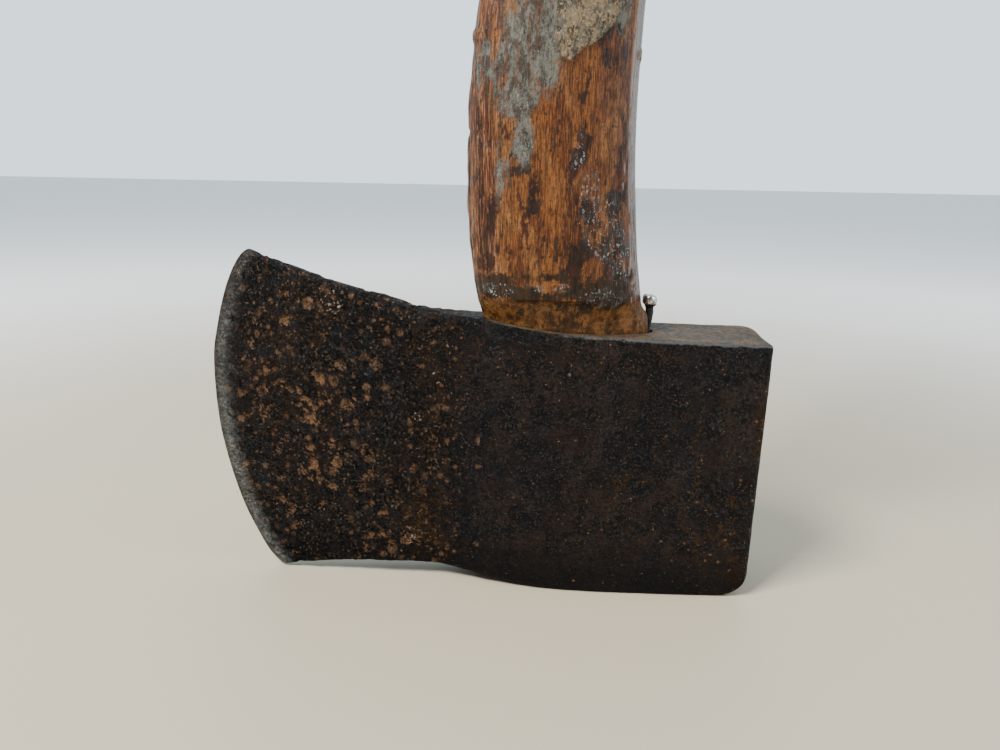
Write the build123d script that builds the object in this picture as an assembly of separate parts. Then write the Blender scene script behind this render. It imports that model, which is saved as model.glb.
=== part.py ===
from build123d import *
import os

# A hatchet that stands on the crown of its head with its haft upright, in millimetres.
# +Z runs up the haft, -X is the bit, +X is the poll and Y is the thickness.
# Z = 0 is the surface that it stands on, and Y = 0 is its plane of symmetry.
# The crown is the top of the head in use, and the underside is where the haft goes in.

# ---- driving dimensions: head --------------------------------------------------------
HEAD_LENGTH = 144.4        # cutting edge to poll face
POLL_HEIGHT = 70.2         # crown to underside at the poll
POLL_WIDTH = 25.8          # thickness at the poll
CHEEK_WIDTH = 23.8         # thickness over the eye
BLADE_THICKNESS = 9.4      # where the blade leaves the cheeks
BLADE_END_THICKNESS = 4.4  # where the blade would meet the edge if it had no bevel
BIT_RADIUS = 90.7          # arc of the cutting edge, seen from the side
BIT_CENTRE_HEIGHT = 51.0   # height of that arc's centre
HEEL_HEIGHT = 90.3         # upper corner of the bit
EDGE_THICKNESS = 0.6       # flat left on the worn cutting edge
BEVEL_LENGTH = 7.0         # sharpened band along the edge
BEVEL_THICKNESS = 3.0      # thickness at the back of that band
CROWN_ARCH = 3.4           # rise of the crown under the blade
HEEL_SAG = 1.6             # hollow of the underside between the eye and the heel
UNDERSIDE_RISE = 1.3       # underside at the middle of the eye, above its height at the poll
FRONT_RISE = 2.7           # underside at the front of the eye, above its height at the middle
POLL_CORNER = 7.0          # corner between poll face and crown, seen from the side
CROWN_EDGE = 2.2           # rounding of the poll's upright corners and along the crown
UNDERSIDE_EDGE = 0.8       # rounding of the poll and cheeks along the underside
SHOULDER_SETBACK = 12.0    # from the front of the eye to the start of the blade

# ---- driving dimensions: eye ---------------------------------------------------------
EYE_LENGTH = 44.5          # at the underside, where the haft goes in
EYE_WIDTH = 17.8
EYE_WAIST = 1.2            # how much shorter and narrower the eye is at its waist
EYE_FLARE = 1.0            # how much longer and wider it is at the crown than at the underside
EYE_FROM_POLL = 28.0       # solid metal between the eye and the poll face
WAIST_HEIGHT = 34.0        # height of the waist above the crown

# ---- driving dimensions: haft --------------------------------------------------------
HAFT_LENGTH = 372.0        # end in the eye to the end of the knob
HAFT_RECESS = 0.8          # end of the haft above the crown, so that the head stands flat
SHOULDER_HEIGHT = 79.4     # ledge where the haft is cut down to its tongue
SHOULDER_THICKNESS = 23.6
SHOULDER_WIDTH = 42.7      # seen from the side
GRIP_WIDTH = 33.0
GRIP_THICKNESS = 22.0
KNOB_WIDTH = 42.0
KNOB_THICKNESS = 25.0
KNOB_EDGE = 2.5            # rounding of the knob's end
KNOB_SLANT = 14.0          # degrees that the end face is off square
TONGUE_LEAN = 2.4          # how far the tongue leans to the bit between eye and shoulder
REAR_FLAT = 2.0            # how far the tongue is cut back from the rear of the eye

# ---- driving dimensions: wedges and nail ---------------------------------------------
WEDGE_THICKNESS = 5.0      # wooden wedge at the crown
WEDGE_TIP = 1.2            # wooden wedge at its thin end
WEDGE_DEPTH = 46.0
STEEL_COVER = 2.8          # wood between each end of the steel wedge and the eye
STEEL_THICKNESS = 2.6      # steel wedge at the crown
STEEL_TIP = 0.6
STEEL_DEPTH = 22.0
STEEL_TURN = 42.0          # degrees between the steel wedge and the wooden one
NAIL_DIAMETER = 2.2
NAIL_HEAD_DIAMETER = 4.0
NAIL_HEAD_HEIGHT = 2.6
NAIL_REACH = 6.0           # shank outside the underside
NAIL_DEPTH = 40.0          # shank inside the eye
NAIL_POINT = 4.0
NAIL_LEAN = 1.0            # how far its head leans to the poll

# ---- clearances ----------------------------------------------------------------------
EYE_FIT = 0.10             # between the haft and the eye, all round
WEDGE_FIT = 0.05           # between a wedge and what it is driven into, each side
NAIL_FIT = 0.10            # between the nail and the wood or the eye
CUT_MARGIN = 20.0          # how far a cutting body runs past what it cuts

# ---- places worked out from them -----------------------------------------------------
BIT_X = -HEAD_LENGTH / 2
POLL_X = HEAD_LENGTH / 2
EYE_REAR_X = POLL_X - EYE_FROM_POLL
EYE_X = EYE_REAR_X - EYE_LENGTH / 2
EYE_FRONT_X = EYE_REAR_X - EYE_LENGTH
SHOULDER_X = EYE_FRONT_X - SHOULDER_SETBACK
BIT_CENTRE_X = BIT_X + BIT_RADIUS
EYE_HEIGHT = POLL_HEIGHT + UNDERSIDE_RISE
FRONT_HEIGHT = EYE_HEIGHT + FRONT_RISE
HAFT_TOP = HAFT_RECESS + HAFT_LENGTH
STEEL_WAY = Vector(1, 0).rotate(Axis.Z, STEEL_TURN)
STEEL_REACH = 1 / Vector(STEEL_WAY.X / EYE_LENGTH, STEEL_WAY.Y / EYE_WIDTH).length
STEEL_WIDTH = STEEL_REACH - 2 * STEEL_COVER  # the eye's width along the wedge, less its cover
NAIL_RADIUS = NAIL_DIAMETER / 2
NAIL_X = EYE_X + (EYE_LENGTH - EYE_WAIST) / 2 - NAIL_FIT - NAIL_RADIUS


def bit_x(height):
    """X of the cutting edge at a height: the arc of the bit."""
    rise = height - BIT_CENTRE_HEIGHT
    return BIT_CENTRE_X - (BIT_RADIUS**2 - rise**2) ** 0.5


def side_body():
    """The head's outline seen from the side, carried through its whole thickness."""
    toe = Vector(bit_x(0), 0)
    heel = Vector(bit_x(HEEL_HEIGHT), HEEL_HEIGHT)
    bit_middle = Vector(BIT_X, BIT_CENTRE_HEIGHT)
    blade_middle = (SHOULDER_X + heel.X) / 2
    crown = Spline(
        toe,
        ((toe.X + SHOULDER_X) / 2, 0.85 * CROWN_ARCH),
        (SHOULDER_X, CROWN_ARCH),
        (EYE_FRONT_X, 0.5 * CROWN_ARCH),
        (EYE_X, 0),
        tangents=[(1, 0.15), (1, 0)],
    )
    sole = Line((EYE_X, 0), (POLL_X - POLL_CORNER, 0))
    corner = JernArc((POLL_X - POLL_CORNER, 0), (1, 0), POLL_CORNER, 90)
    poll = Line((POLL_X, POLL_CORNER), (POLL_X, POLL_HEIGHT))
    underside = Spline(
        (POLL_X, POLL_HEIGHT),
        (EYE_X, EYE_HEIGHT),
        (EYE_FRONT_X, FRONT_HEIGHT),
        (blade_middle, (FRONT_HEIGHT + HEEL_HEIGHT) / 2 - HEEL_SAG),
        heel,
        tangents=[(-1, 0.02), (-1, 0.36)],
    )
    bit = ThreePointArc(heel, bit_middle, toe)
    outline = make_face([crown, sole, corner, poll, underside, bit])
    return extrude(Plane.XZ * outline, CUT_MARGIN + POLL_WIDTH, both=True)


def plan_body():
    """The head's outline seen along the haft, carried through its whole height."""
    blade_y = BLADE_THICKNESS / 2
    poll_y = POLL_WIDTH / 2
    taper = (BLADE_THICKNESS - BLADE_END_THICKNESS) / 2 / (SHOULDER_X - BIT_X)
    front_y = blade_y - taper * (SHOULDER_X - BIT_X + CUT_MARGIN)
    blade = Line((BIT_X - CUT_MARGIN, front_y), (SHOULDER_X, blade_y))
    flare = (poll_y - CHEEK_WIDTH / 2) / (POLL_X - EYE_X)
    swell = Spline(
        (SHOULDER_X, blade_y),
        (EYE_FRONT_X, blade_y + 0.4 * (CHEEK_WIDTH / 2 - blade_y)),
        (EYE_X, CHEEK_WIDTH / 2),
        tangents=[(1, taper + 0.1), (1, flare)],
    )
    cheek = Line((EYE_X, CHEEK_WIDTH / 2), (POLL_X, poll_y))
    end = Line((POLL_X, poll_y), (POLL_X, 0))
    middle = Line((POLL_X, 0), (BIT_X - CUT_MARGIN, 0))
    front = Line((BIT_X - CUT_MARGIN, 0), (BIT_X - CUT_MARGIN, front_y))
    half = make_face([blade, swell, cheek, end, middle, front])
    outline = half + mirror(half, Plane.XZ)
    return extrude(outline, HEEL_HEIGHT + CUT_MARGIN)


def bevel_cutter():
    """What grinding takes off both sides of the bit: a cone each side of the edge's arc."""
    slope = (BEVEL_THICKNESS - EDGE_THICKNESS) / 2 / BEVEL_LENGTH
    depth = 3 * BEVEL_LENGTH
    outside = BIT_RADIUS + BEVEL_LENGTH
    wide = POLL_WIDTH
    with BuildSketch(Plane.XY) as section:
        Polygon(
            (-outside, EDGE_THICKNESS / 2 - slope * BEVEL_LENGTH),
            (-BIT_RADIUS + depth, EDGE_THICKNESS / 2 + slope * depth),
            (-BIT_RADIUS + depth, wide),
            (-outside, wide),
            align=None,
        )
    ring = revolve(section.sketch, Axis.Y, 360)
    ring += mirror(ring, Plane.XZ)
    return Pos(BIT_CENTRE_X, 0, BIT_CENTRE_HEIGHT) * ring


def eye_body(gap):
    """The eye's shape, longest at the crown and tightest at its waist, less a gap all round."""
    below = -CROWN_EDGE
    above = FRONT_HEIGHT + FRONT_RISE
    sections = [(below, EYE_FLARE), (WAIST_HEIGHT, -EYE_WAIST), (above, 0)]
    rings = [
        Pos(EYE_X, 0, height) * Ellipse((EYE_LENGTH + wider) / 2 - gap, (EYE_WIDTH + wider) / 2 - gap)
        for height, wider in sections
    ]
    return loft(rings)


def make_head():
    """The forged head: side and plan outlines crossed, ground at the bit, with its eye."""
    head = side_body() & plan_body()
    upright = head.edges().filter_by(Axis.Z).group_by(Axis.X)[-1]
    head = fillet(upright, CROWN_EDGE)
    rim = head.edges().filter_by(lambda edge: edge.center().X > SHOULDER_X)
    rim = rim.filter_by(lambda edge: edge.center().Z > POLL_HEIGHT - UNDERSIDE_EDGE)
    head = fillet(rim, UNDERSIDE_EDGE)
    head -= bevel_cutter()
    return head - eye_body(0)


def haft_body():
    """The haft outside the head: ovals along a line that bellies to the bit, then sweeps back.

    Each oval is given by how far along it is, its sway to the poll, its width and thickness.
    """
    ovals = [
        (0.00, -2.7, SHOULDER_WIDTH, SHOULDER_THICKNESS),
        (0.05, -4.9, SHOULDER_WIDTH, SHOULDER_THICKNESS),
        (0.14, -6.2, SHOULDER_WIDTH - 1.1, SHOULDER_THICKNESS - 0.2),
        (0.24, -4.7, SHOULDER_WIDTH - 3.4, SHOULDER_THICKNESS - 0.8),
        (0.36, -1.0, GRIP_WIDTH + 3.6, GRIP_THICKNESS + 0.3),
        (0.52, 3.3, GRIP_WIDTH + 0.5, GRIP_THICKNESS),
        (0.70, 5.0, GRIP_WIDTH, GRIP_THICKNESS),
        (0.84, 3.2, GRIP_WIDTH + 1.6, GRIP_THICKNESS + 0.5),
        (0.94, -0.6, KNOB_WIDTH - 2.6, KNOB_THICKNESS - 0.6),
        (1.03, -4.4, KNOB_WIDTH, KNOB_THICKNESS),
    ]
    run = HAFT_TOP - SHOULDER_HEIGHT
    rings = [
        Pos(EYE_X + sway, 0, SHOULDER_HEIGHT + along * run) * Ellipse(width / 2, thickness / 2)
        for along, sway, width, thickness in ovals
    ]
    return loft(rings)


def make_haft_blank():
    """The haft before it is sawn for its wedges: tongue, shoulder, grip and slanted knob."""
    haft = haft_body()
    slant = Plane((EYE_X + KNOB_WIDTH / 2 - KNOB_EDGE, 0, HAFT_TOP)).rotated((0, -KNOB_SLANT, 0))
    haft = split(haft, bisect_by=slant, keep=Keep.BOTTOM)
    end = haft.faces().sort_by(Axis.Z)[-1]
    haft = fillet(end.edges(), KNOB_EDGE)

    slab = Pos(EYE_X, 0, (HAFT_RECESS + FRONT_HEIGHT + EYE_FIT) / 2) * Box(
        2 * EYE_LENGTH, 2 * EYE_WIDTH, FRONT_HEIGHT + EYE_FIT - HAFT_RECESS
    )
    tongue = eye_body(EYE_FIT) & slab
    top = tongue.faces().sort_by(Axis.Z)[-1]
    half_length = EYE_LENGTH / 2 - EYE_FIT
    half_width = EYE_WIDTH / 2 - EYE_FIT
    neck = loft([
        top,
        Pos(EYE_X - TONGUE_LEAN, 0, SHOULDER_HEIGHT) * Ellipse(half_length - 1.0, half_width + 0.6),
    ])
    haft = haft + tongue + neck
    rear = EYE_REAR_X - REAR_FLAT
    behind = Pos(rear + CUT_MARGIN, 0, 0) * Box(2 * CUT_MARGIN, 2 * EYE_WIDTH, 2 * SHOULDER_HEIGHT)
    return haft - behind


def wedge_plate(width, thickness, tip, depth, gap):
    """A wedge driven from the haft's end: a plate that thins upwards, grown by a gap."""
    low = Pos(EYE_X, 0, HAFT_RECESS - gap) * Rectangle(width + 2 * gap, thickness + 2 * gap)
    high = Pos(EYE_X, 0, HAFT_RECESS + depth + gap) * Rectangle(width + 2 * gap, tip + 2 * gap)
    return loft([low, high])


def steel_wedge(gap):
    """The steel wedge, turned about the eye's axis so that it crosses the wooden one."""
    plate = wedge_plate(STEEL_WIDTH, STEEL_THICKNESS, STEEL_TIP, STEEL_DEPTH, gap)
    turned = Pos(EYE_X, 0, 0) * Rot(0, 0, STEEL_TURN) * Pos(-EYE_X, 0, 0)
    return turned * plate


def nail(gap):
    """The nail behind the haft: point, shank, the bent top of the shank and a battered head."""
    radius = NAIL_RADIUS + gap
    bottom = EYE_HEIGHT - NAIL_DEPTH - gap
    bend = Vector(NAIL_X, 0, EYE_HEIGHT)
    neck = Vector(NAIL_X + NAIL_LEAN, 0, EYE_HEIGHT + NAIL_REACH)
    lean = (neck - bend).normalized()
    point = Pos(NAIL_X, 0, bottom) * Cone(
        radius / 4, radius, NAIL_POINT, align=(Align.CENTER, Align.CENTER, Align.MIN)
    )
    shank = Pos(NAIL_X, 0, bottom + NAIL_POINT) * Cylinder(
        radius, EYE_HEIGHT - NAIL_POINT - bottom, align=(Align.CENTER, Align.CENTER, Align.MIN)
    )
    elbow = Pos(bend) * Sphere(radius)
    top = Plane(bend, z_dir=lean) * Cylinder(
        radius, (neck - bend).length, align=(Align.CENTER, Align.CENTER, Align.MIN)
    )
    head = Plane(neck - lean * gap, z_dir=lean) * Cylinder(
        NAIL_HEAD_DIAMETER / 2 + gap, NAIL_HEAD_HEIGHT + 2 * gap,
        align=(Align.CENTER, Align.CENTER, Align.MIN),
    )
    return point + shank + elbow + top + head


def make_parts():
    """Every piece by name. The wedges and the nail are cut out of what they are driven into."""
    blank = make_haft_blank()
    kerf = wedge_plate(2 * EYE_LENGTH, WEDGE_THICKNESS, WEDGE_TIP, WEDGE_DEPTH, 0)
    slot = wedge_plate(2 * EYE_LENGTH, WEDGE_THICKNESS, WEDGE_TIP, WEDGE_DEPTH, WEDGE_FIT)
    steel = steel_wedge(0)
    steel_slot = steel_wedge(WEDGE_FIT)
    nail_slot = nail(NAIL_FIT)
    return {
        "head": make_head(),
        "haft": blank - slot - steel_slot - nail_slot,
        "kerf_wedge": (blank & kerf) - steel_slot - nail_slot,
        "steel_wedge": steel,
        "shim_nail": nail(0),
    }


if __name__ == "__main__":
    os.makedirs("parts", exist_ok=True)
    for name, shape in make_parts().items():
        export_step(shape, f"parts/{name}.step")
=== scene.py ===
import math

import bpy
import numpy as np
from mathutils import Matrix, Vector


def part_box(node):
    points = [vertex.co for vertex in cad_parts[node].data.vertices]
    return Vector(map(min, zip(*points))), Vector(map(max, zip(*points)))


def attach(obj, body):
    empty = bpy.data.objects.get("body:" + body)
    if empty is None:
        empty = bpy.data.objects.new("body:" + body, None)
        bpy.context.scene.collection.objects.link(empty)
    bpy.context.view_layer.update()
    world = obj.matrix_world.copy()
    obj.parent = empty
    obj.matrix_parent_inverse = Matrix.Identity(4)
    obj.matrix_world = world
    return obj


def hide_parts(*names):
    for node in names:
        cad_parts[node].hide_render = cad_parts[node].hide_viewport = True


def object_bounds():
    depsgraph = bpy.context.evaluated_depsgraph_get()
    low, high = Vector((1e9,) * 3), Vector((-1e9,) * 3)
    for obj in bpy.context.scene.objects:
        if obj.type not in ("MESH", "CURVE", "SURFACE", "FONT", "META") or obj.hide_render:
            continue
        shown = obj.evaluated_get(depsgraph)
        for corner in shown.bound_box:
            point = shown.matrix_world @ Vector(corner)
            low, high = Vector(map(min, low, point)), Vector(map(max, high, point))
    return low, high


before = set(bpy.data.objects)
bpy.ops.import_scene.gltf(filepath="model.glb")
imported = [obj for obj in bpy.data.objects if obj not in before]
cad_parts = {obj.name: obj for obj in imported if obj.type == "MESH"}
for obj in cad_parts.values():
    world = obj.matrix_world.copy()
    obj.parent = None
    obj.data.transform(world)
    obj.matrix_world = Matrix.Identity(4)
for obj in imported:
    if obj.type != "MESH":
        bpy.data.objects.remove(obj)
cad_bounds = [list(map(float, corner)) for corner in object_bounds()]

MM = 0.001
head_low, head_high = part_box("head")
haft_low, haft_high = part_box("haft")
nail_low, nail_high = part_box("shim_nail")
kerf_low, kerf_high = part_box("kerf_wedge")
steel_low, steel_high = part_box("steel_wedge")

# ---- the head's sizes ------------------------------------------------------------------
BIT_X = head_low.x
POLL_X = head_high.x
HEEL_HEIGHT = head_high.z
SHOULDER_X = -12.3 * MM         # where the blade leaves the cheeks
POLL_CORNER = 7.0 * MM          # corner between poll face and crown
POLL_EDGE = 1.3 * MM            # upright corner of the poll in front
POLL_BACK_EDGE = 3.6 * MM       # and behind, where it is battered rounder
BURR_HEIGHT = 1.0 * MM          # metal raised at the end of the underside by hammering
TOE_ROUNDING = 0.8 * MM
HEEL_ROUNDING = 1.2 * MM
EYE_LENGTH = 44.5 * MM
EYE_WIDTH = 17.8 * MM
EYE_FROM_POLL = 28.0 * MM
EYE_WAIST = 1.2 * MM
EYE_FLARE = 1.0 * MM
WAIST_HEIGHT = 34.0 * MM
EYE_TOP = 76.9 * MM
EYE_X = POLL_X - EYE_FROM_POLL - EYE_LENGTH / 2
EYE_FIT = 0.1 * MM

# ---- the wedges' and nail's sizes ------------------------------------------------------
WEDGE_THICKNESS = 5.0 * MM
WEDGE_TIP = 1.2 * MM
WEDGE_FIT = 0.05 * MM
STEEL_THICKNESS = 2.6 * MM
STEEL_TIP = 0.6 * MM
STEEL_TURN = math.radians(42.0)
STEEL_SPAN = steel_high.x - steel_low.x
STEEL_WIDTH = (STEEL_SPAN - STEEL_THICKNESS * math.sin(STEEL_TURN)) / math.cos(STEEL_TURN)
NAIL_RADIUS = 1.1 * MM
NAIL_X = nail_low.x + NAIL_RADIUS
NAIL_LEAN = 1.0 * MM            # to the poll, above the eye
NAIL_BEND = 0.75 * MM           # back to the haft, under its head
NAIL_FIT = 0.1 * MM
NAIL_LENGTH = 48.5              # of the nail's own list of heights, in mm

# ---- small tools -----------------------------------------------------------------------
LATTICE = 64                    # cells before the random lattice repeats


def curve_through(x, stations, values):
    """A cubic through the stations, whose slope at each is the mean of the chords beside it."""
    stations = np.asarray(stations, float)
    values = np.asarray(values, float)
    chords = np.diff(values) / np.diff(stations)
    slopes = np.concatenate([chords[:1], (chords[1:] + chords[:-1]) / 2, chords[-1:]])
    x = np.clip(x, stations[0], stations[-1])
    cell = np.clip(np.searchsorted(stations, x, side="right") - 1, 0, len(stations) - 2)
    width = stations[cell + 1] - stations[cell]
    t = (x - stations[cell]) / width
    rise = (2 * t**3 - 3 * t**2 + 1) * values[cell] + (3 * t**2 - 2 * t**3) * values[cell + 1]
    bend = (t**3 - 2 * t**2 + t) * slopes[cell] + (t**3 - t**2) * slopes[cell + 1]
    return rise + bend * width


def ramp(x, start, end):
    """0 before start, 1 after end, and smooth between; start may be the larger."""
    t = np.clip((x - start) / (end - start), 0, 1)
    return t * t * (3 - 2 * t)


def lattice_noise(points, size, seed):
    """Random height, 0 to 1: random values on a cubic lattice, blended by smoothstep."""
    table = np.random.default_rng(seed).random((LATTICE,) * 3)
    scaled = points / size
    cell = np.floor(scaled).astype(int)
    part = scaled - cell
    part = part * part * (3 - 2 * part)
    total = np.zeros(points.shape[:-1])
    for corner in np.ndindex(2, 2, 2):
        weight = np.prod(np.where(corner, part, 1 - part), axis=-1)
        i, j, k = np.moveaxis((cell + corner) % LATTICE, -1, 0)
        total += weight * table[i, j, k]
    return total


def rough(points, size, seed, octaves=4):
    """Lattice noise summed over octaves, each half the size and height of the last; -1 to 1."""
    total = np.zeros(points.shape[:-1])
    for octave in range(octaves):
        total += (lattice_noise(points, size / 2**octave, seed + octave) - 0.5) / 2**octave
    return total


def craters(points, spacing, smallest, largest, seed):
    """Depth of the deepest bowl at each point, 0 to 1, and that bowl's own random number.

    One bowl stands in each lattice cell, jittered: depth falls off as a paraboloid.
    """
    table = np.random.default_rng(seed).random((LATTICE, LATTICE, LATTICE, 5))
    cell = np.floor(points / spacing).astype(int)
    depth = np.zeros(points.shape[:-1])
    kind = np.zeros(points.shape[:-1])
    for step in np.ndindex(3, 3, 3):
        near = cell + step - 1
        i, j, k = np.moveaxis(near % LATTICE, -1, 0)
        draw = table[i, j, k]
        centre = (near + draw[..., :3]) * spacing
        radius = smallest + (largest - smallest) * draw[..., 3] ** 2
        bowl = np.clip(1 - (np.linalg.norm(points - centre, axis=-1) / radius) ** 2, 0, 1)
        kind = np.where(bowl > depth, draw[..., 4], kind)
        depth = np.maximum(depth, bowl)
    return depth, kind


def warped(points, size, amount, seed):
    """Points pushed about by lattice noise along each axis, so that round shapes go ragged."""
    push = [rough(points, size, seed + 10 * axis, 2) for axis in range(3)]
    return points + amount * np.stack(push, axis=-1)


def patches(points, ovals, shift=(0, 0)):
    """Strongest of some soft ovals at each point.

    An oval is its middle's X and height, its half width and half height, all in mm, and its
    strength. It fades slowly from its middle, half gone at its rim. The back has them shifted.
    """
    behind = (points[:, 1] > 0).astype(float)
    x = points[:, 0] / MM + shift[0] * behind
    height = points[:, 2] / MM + shift[1] * behind
    total = np.zeros(len(points))
    for middle_x, middle_height, half_width, half_height, strength in ovals:
        away = np.hypot((x - middle_x) / half_width, (height - middle_height) / half_height)
        total = np.maximum(total, strength * (1 - ramp(away, 0.2, 1.75)))
    return total


def vertex_normals(points, quads):
    """Unit normals: each quad's diagonal cross product, added up at its corners."""
    a, b, c, d = (points[quads[:, k]] for k in range(4))
    flat = np.cross(c - a, d - b)
    normals = np.zeros_like(points)
    for k in range(4):
        np.add.at(normals, quads[:, k], flat)
    return normals / np.maximum(np.linalg.norm(normals, axis=1, keepdims=True), 1e-12)


def make_piece(name, points, faces, attributes=None, smooth=True):
    """A mesh object at the origin from arrays of points and faces, with float attributes."""
    mesh = bpy.data.meshes.new(name)
    mesh.from_pydata(points.tolist(), [], [list(map(int, f)) for f in faces])
    mesh.update()
    mesh.polygons.foreach_set("use_smooth", np.full(len(mesh.polygons), smooth))
    for key, values in (attributes or {}).items():
        layer = mesh.attributes.new(key, "FLOAT", "POINT")
        layer.data.foreach_set("value", np.asarray(values, np.float32))
    piece = bpy.data.objects.new(name, mesh)
    bpy.context.scene.collection.objects.link(piece)
    return piece


def tube_quads(rings, around, start=0):
    """Quads between neighbouring rings of a closed tube, as indices."""
    r = np.arange(rings - 1)[:, None] * around
    a = np.arange(around)[None, :]
    b = (a + 1) % around
    quads = np.stack([r + a, r + b, r + around + b, r + around + a], axis=-1)
    return quads.reshape(-1, 4) + start


# ---- the head: shape -------------------------------------------------------------------
def bit_x(height):
    """X of the cutting edge at a height: fullest near the toe, worn round at the heel."""
    stations = [0, 1.6, 4.9, 10.9, 18.1, 27.4, 40.6, 50, 57.3, 63.8, 70.2, 76.5, 82.1, 87.6, 90.3]
    setback = [15.7, 14.0, 11.5, 8.6, 5.7, 3.1, 0.65, 0.02, 0.05, 0.5, 1.9, 3.6, 5.6, 8.5, 10.8]
    return BIT_X + curve_through(height, np.array(stations) * MM, np.array(setback) * MM)


def crown_height(x):
    """Lower outline seen from the side: toe, shallow arch, flat under the eye and poll."""
    stations = np.array([-58, -54, -47, -38, -25, -12, 0, 12, 24, 36]) * MM
    heights = np.array([0, 0.8, 1.8, 2.7, 3.3, 3.4, 1.7, 0.6, 0.1, 0]) * MM
    return curve_through(x, stations, heights)


def underside_height(x):
    """Upper outline seen from the side: from the heel down to the eye, then level to the poll."""
    stations = np.array([-63, -57.5, -49, -37, -27, -16, -7, 0, 6, 13, 22, 39, 55, 72]) * MM
    heights = [91, 89.2, 86.1, 82.1, 79.3, 76.4, 74.9, 74.1, 73.3, 72.4, 71.6, 71.1, 70.7, 70.2]
    return curve_through(x, stations, np.array(heights) * MM)


def half_thickness(x, height):
    """Half the head's thickness.

    On the blade it follows the share of the way from the cutting edge to the cheeks, so
    that lines of one thickness bend with the edge. Behind that it follows X alone.
    """
    edge = bit_x(height)
    share = np.clip((x - edge) / (SHOULDER_X - edge), 0, 1)
    blade = curve_through(
        share, [0, 0.025, 0.11, 0.25, 0.5, 0.75, 1.0],
        np.array([0.28, 0.75, 1.45, 2.15, 3.15, 4.0, 4.7]) * MM,
    )
    stations = np.array([-12.3, -6, 0, 8, 15, 24, 40, 56, 72.2]) * MM
    cheek = curve_through(
        x, stations, np.array([4.7, 5.8, 7.3, 9.2, 10.6, 11.6, 12.3, 12.7, 12.82]) * MM
    )
    return np.where(x < SHOULDER_X, blade, cheek)


def rounding(distance, radius):
    """How far a surface falls back near its end, as a quarter circle of that radius does."""
    inside = np.clip(radius - distance, 0, radius)
    return radius - np.sqrt(np.maximum(radius**2 - inside**2, 0))


SIDE_STEPS = 114                # up each cheek
CORNER_STEPS = 4                # round each long corner
ACROSS_STEPS = 26               # across the crown and the underside
LENGTH_STEP = 0.64 * MM
HEIGHT_PASSES = 6               # a ring's heights and its X follow from each other
LOW_ROUND = 1.3 * MM            # long corners along the crown
HIGH_ROUND = 1.0 * MM           # and along the underside, rounder on the blade
BLADE_ROUND = 2.2 * MM
UNDERSIDE_END = 0.9 * MM


def head_stations():
    """X of each ring before it bends with the bit: close together round both ends."""
    turn = np.linspace(0, math.pi / 2, 6)
    front = BIT_X + 1.6 * MM * (1 - np.cos(turn))
    turn = np.linspace(0, math.pi / 2, 15)
    back = POLL_X - POLL_CORNER + POLL_CORNER * np.sin(turn)
    count = int((back[0] - front[-1]) / LENGTH_STEP)
    middle = np.linspace(front[-1], back[0], count + 1)[1:-1]
    return np.concatenate([front, middle, back])


def section_weights():
    """Each point of a ring as weights: of its section's lower and upper height, lower and
    upper rounding, and of its half thickness with the lower and upper rounding taken off it.

    The ring runs up the front cheek (-Y), over the underside, down the back cheek and
    under the crown. Corners are quarter circles.
    """
    up = np.linspace(0, 1, SIDE_STEPS + 1)
    turn = np.linspace(0, math.pi / 2, CORNER_STEPS + 1)[1:]
    zero, one = np.zeros_like, np.ones_like
    side = np.stack([1 - up, up, 1 - up, -up, one(up), zero(up), zero(up)])
    top = np.stack([
        zero(turn), one(turn), zero(turn), np.sin(turn) - 1,
        one(turn), zero(turn), np.cos(turn) - 1,
    ])
    low = np.stack([
        one(turn), zero(turn), 1 - np.sin(turn), zero(turn),
        one(turn), np.cos(turn) - 1, zero(turn),
    ])
    front_half = np.concatenate([low[:, ::-1], side, top], axis=1)
    back_half = front_half[:, ::-1].copy()
    front_half[4:] *= -1
    across = np.linspace(-1, 1, ACROSS_STEPS + 1)[1:-1]
    nil, full = np.zeros_like(across), np.ones_like(across)
    over = np.stack([nil, full, nil, nil, across, nil, -across])
    under = np.stack([full, nil, nil, nil, -across, across, nil])
    return np.concatenate([front_half, over, back_half, under], axis=1)


def end_grid(ring, around, total, rows):
    """Indices of a grid that closes an end: its rim is the ring, its inside is new points."""
    front = np.arange(rows) + ring * around
    back = front[0] + (2 * rows + ACROSS_STEPS - 1) - 1 - np.arange(rows)
    grid = np.empty((rows, ACROSS_STEPS + 1), int)
    grid[:, 0] = front
    grid[:, -1] = back
    grid[-1, 1:-1] = front[-1] + 1 + np.arange(ACROSS_STEPS - 1)
    grid[0, 1:-1] = back[0] + 1 + np.arange(ACROSS_STEPS - 1)[::-1]
    grid[1:-1, 1:-1] = total + np.arange((rows - 2) * (ACROSS_STEPS - 1)).reshape(rows - 2, -1)
    return grid


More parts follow.
